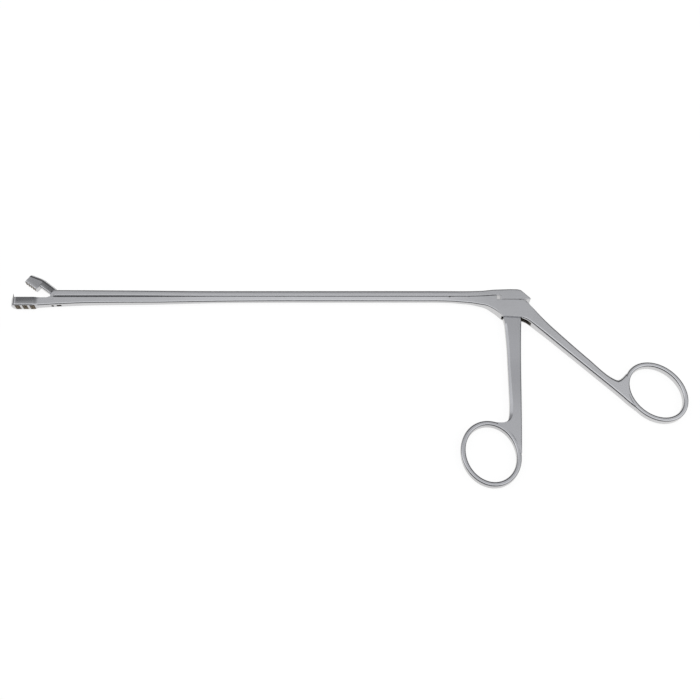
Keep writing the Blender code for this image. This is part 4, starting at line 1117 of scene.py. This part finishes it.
def bar_cuts(material):
    """The fork over the jaw's tail, the hole of the drive pin and the slot of the lever's nose."""
    drive_x, drive_y, drive_radius = pin_circle("jaw_drive_pin")
    drive_reach = math.hypot(drive_x - JAW_PIVOT_X, drive_y - JAW_PIVOT_Y)
    fork_root = drive_x + TAIL_HEAD_RADIUS + key_travel()
    fork_top = JAW_PIVOT_Y + drive_reach + TAIL_HEAD_RADIUS + TAIL_GAP * 2
    fork = rectangle(BAR_NOSE_X - CUT_OVER, fork_root, BAR_BOTTOM_Y - CUT_OVER, fork_top)
    nose_x, nose_y = nose_place()
    slot_half = NOSE_RADIUS + RUNNING_GAP
    slot_low = SEAT_Y + SLIDE_GAP / 2 - CUT_OVER
    nose_slot = [(nose_x - slot_half, slot_low), (nose_x + slot_half, slot_low)]
    nose_slot += arc((nose_x, nose_y + RUNNING_GAP), slot_half, 0, 180, 24).tolist()
    return [plate("fork", fork, TAIL_HALF + TAIL_GAP, material),
            round_hole("drive_hole", (drive_x, drive_y), drive_radius + FLUSH_GAP, material),
            plate("nose_slot", nose_slot, bpy.context.scene.forceps_lever.tongue_half + SIDE_GAP, material)]


class FORCEPS_OT_forging(bpy.types.Operator):
    """Build the fixed half: basket, shaft, body, rear handle and rear ring."""
    bl_idname = "forceps.forging"
    bl_label = "Forging"

    def execute(self, context):
        rings = context.scene.forceps_rings
        # Painted shade for the pivot hole, the grooves and the mortise
        slot = slot_shade_steel()
        piece = forging_form(satin_steel())
        ring = finger_ring("rear_ring", REAR_RING_X, REAR_RING_Y, rings.rear_long, rings.rear_short,
                           rings.rear_tilt)
        lever_pin_radius = pin_circle("lever_pivot_pin")[2]
        pivot_hole = round_hole("pivot_hole", (0, 0), lever_pin_radius + FLUSH_GAP, slot)
        work(piece, [ring, basket_form(), spike_form()],
             [basket_cavity(inner_steel()), *jaw_cuts(), *groove_cuts(slot), mortise_cut(slot), pivot_hole])
        finish_piece(piece, "frame", "satin_steel", "fixed_frame")
        return {"FINISHED"}


class FORCEPS_OT_sliding_bar(bpy.types.Operator):
    """Build the sliding bar with its fork, its keys and its rear block."""
    bl_idname = "forceps.sliding_bar"
    bl_label = "Sliding bar"

    def execute(self, context):
        piece = bar_form(satin_steel())
        # Painted shade in the fork, the drive pin's hole and the nose's slot
        work(piece, bar_keys(), bar_cuts(slot_shade_steel()))
        finish_piece(piece, "bar", "satin_steel", "sliding_bar")
        return {"FINISHED"}


class FORCEPS_OT_upper_jaw(bpy.types.Operator):
    """Build the toothed upper jaw with its arm and its tail, swung open."""
    bl_idname = "forceps.upper_jaw"
    bl_label = "Upper jaw"

    def execute(self, context):
        sizes = context.scene.forceps_jaws
        lean = sizes.open_angle / 2
        drive_x, drive_y, _radius = pin_circle("jaw_drive_pin")
        drive_reach = math.hypot(drive_x - JAW_PIVOT_X, drive_y - JAW_PIVOT_Y)
        drive = (-drive_reach * math.sin(lean), drive_reach * math.cos(lean))
        jaw = head_form(satin_steel())
        work(jaw, [tail_form(drive, math.degrees(lean))], head_cuts(inner_steel(), drive, lean))
        jaw.data.transform(head_place(sizes))
        finish_piece(jaw, "jaw", "satin_steel", "upper_jaw")
        return {"FINISHED"}


class FORCEPS_OT_front_lever(bpy.types.Operator):
    """Build the front lever with its ring and its tongue."""
    bl_idname = "forceps.front_lever"
    bl_label = "Front lever"

    def execute(self, context):
        rings = context.scene.forceps_rings
        piece = lever_form(lever_steel())
        ring = finger_ring("front_ring", FRONT_RING_X, FRONT_RING_Y, rings.front_long, rings.front_short,
                           rings.front_tilt)
        # Painted shade in the lever's pivot hole
        hole = round_hole("lever_hole", (0, 0), pin_circle("lever_pivot_pin")[2] + PIN_GAP, slot_shade_steel())
        work(piece, [ring, web_form(), tongue_form()], [hole])
        finish_piece(piece, "lever", "lever_steel", "front_lever")
        return {"FINISHED"}


class FORCEPS_OT_pins(bpy.types.Operator):
    """Build the three pins, flush with the sides of what holds them."""
    bl_idname = "forceps.pins"
    bl_label = "Pins"

    def execute(self, context):
        pins = (("lever_pin", "lever_pivot_pin", "frame"), ("jaw_pin", "jaw_pivot_pin", "frame"),
                ("drive_pin", "jaw_drive_pin", "bar"))
        for name, node, body in pins:
            finish_piece(pin_form(name, node, satin_steel()), body, "satin_steel", node)
        return {"FINISHED"}


class FORCEPS_OT_stage(bpy.types.Operator):
    """Set up the floor, the soft light and the camera."""
    bl_idname = "forceps.stage"
    bl_label = "Stage"

    def execute(self, context):
        stage = context.scene.forceps_stage
        add_floor(stage)
        add_sky(stage)
        add_camera(stage)
        context.scene.view_settings.view_transform = "Standard"
        return {"FINISHED"}


def add_floor(stage):
    """A white floor that shows white to the camera and in the steel, and keeps a soft shadow."""
    grey = (0.80, 0.80, 0.80, 1.0)
    warm_white = (1.0, 0.985, 0.955)
    shown_white = 0.72
    lift = 0.16
    half = stage.floor_half
    corners = [(-half, -half, 0.0), (half, -half, 0.0), (half, half, 0.0), (-half, half, 0.0)]
    material = bpy.data.materials.new("white_floor")
    material.use_nodes = True
    tree = material.node_tree
    tree.nodes.clear()
    path = add_node(tree, "LightPath")
    glossy = path.outputs["Is Glossy Ray"]
    seen = maths(tree, "MAXIMUM", path.outputs["Is Camera Ray"], glossy)
    diffuse = add_node(tree, "BsdfDiffuse", {"Color": grey}).outputs[0]
    white = blend(tree, glossy, emission(tree), emission(tree, warm_white))
    lit = blend(tree, maths(tree, "MULTIPLY", seen, shown_white), diffuse, white)
    lifted = add_node(tree, "AddShader", {0: lit, 1: emission(tree, strength=lift)}).outputs[0]
    add_node(tree, "OutputMaterial", {"Surface": blend(tree, seen, lit, lifted)})
    floor = add_piece("floor", corners, [(0, 1, 2, 3)], material)


def add_sky(stage):
    """A sky with a bright strip overhead along x, a soft glow towards -X, and dim sides and edges."""
    slope_edge, slope_full = math.radians(31.5), math.radians(23)
    top_edge, top_full = math.radians(16), math.radians(8)
    back_dark, back_full, back_slant = -0.60, -0.30, 0.5
    glow_edge, glow_full = -0.25, -0.70
    low_dark, low_full = 0.15, 0.75
    world = bpy.data.worlds.new("soft_sky")
    bpy.context.scene.world = world
    world.use_nodes = True
    tree = world.node_tree
    tree.nodes.clear()
    direction = add_node(tree, "TexCoord").outputs["Generated"]
    x, y, z = add_node(tree, "SeparateXYZ", {0: direction}).outputs
    lean = maths(tree, "ARCTAN2", y, z)
    slope = eased(tree, lean, slope_edge, slope_full, stage.slope - stage.horizon)
    top = eased(tree, lean, top_edge, top_full, stage.overhead - stage.slope)
    near = eased(tree, maths(tree, "MULTIPLY_ADD", x, back_slant, y), back_dark, back_full)
    side = eased(tree, x, glow_edge, glow_full, stage.side_glow)
    height = eased(tree, z, low_dark, low_full)
    glow = maths(tree, "ADD", maths(tree, "ADD", slope, top), side)
    level = maths(tree, "MULTIPLY_ADD", maths(tree, "MULTIPLY", glow, near), height, stage.horizon)
    sky = emission(tree, (0.99, 0.992, 1.0), level, "Background")
    backdrop = emission(tree, kind="Background")
    camera_ray = add_node(tree, "LightPath").outputs["Is Camera Ray"]
    add_node(tree, "OutputWorld", {"Surface": blend(tree, camera_ray, sky, backdrop)})


def add_camera(stage):
    """The camera, looking down on the forceps from the handles' side."""
    lens = bpy.data.cameras.new("camera")
    lens.sensor_width = 36.0
    lens.lens = stage.focal_length
    camera = bpy.data.objects.new("camera", lens)
    bpy.context.scene.collection.objects.link(camera)
    camera.location = stage.camera_place
    camera.rotation_euler = (stage.camera_tilt, 0.0, 0.0)
    bpy.context.scene.camera = camera


GROUPS = (("forceps_forging", ForgingSizes), ("forceps_bar", BarSizes), ("forceps_jaws", JawSizes),
          ("forceps_lever", LeverSizes), ("forceps_rings", RingSizes), ("forceps_finishes", Finishes),
          ("forceps_stage", StageSettings))
OPERATORS = (FORCEPS_OT_forging, FORCEPS_OT_sliding_bar, FORCEPS_OT_upper_jaw, FORCEPS_OT_front_lever,
             FORCEPS_OT_pins, FORCEPS_OT_stage)


class FORCEPS_PT_panel(bpy.types.Panel):
    """Lists the operators and the sizes in the sidebar."""
    bl_idname = "FORCEPS_PT_panel"
    bl_label = "Forceps"
    bl_space_type = "VIEW_3D"
    bl_region_type = "UI"
    bl_category = "Forceps"

    def draw(self, context):
        for operator in OPERATORS:
            self.layout.operator(operator.bl_idname)
        for name, group in GROUPS:
            box = self.layout.box()
            box.label(text=group.__doc__.rstrip("."))
            for key in group.__annotations__:
                box.prop(getattr(context.scene, name), key)


def register():
    """Register the classes and put the property groups on the scene."""
    for kind in (*(group for _name, group in GROUPS), *OPERATORS, FORCEPS_PT_panel):
        bpy.utils.register_class(kind)
    for name, group in GROUPS:
        setattr(bpy.types.Scene, name, bpy.props.PointerProperty(type=group))


def unregister():
    """Take the property groups off the scene and unregister the classes."""
    for name, _group in GROUPS:
        delattr(bpy.types.Scene, name)
    for kind in reversed((*(group for _name, group in GROUPS), *OPERATORS, FORCEPS_PT_panel)):
        bpy.utils.unregister_class(kind)


def main():
    """Build every piece and the stage."""
    register()
    bpy.ops.forceps.forging()
    bpy.ops.forceps.sliding_bar()
    bpy.ops.forceps.upper_jaw()
    bpy.ops.forceps.front_lever()
    bpy.ops.forceps.pins()
    bpy.ops.forceps.stage()


if __name__ == "__main__":
    main()
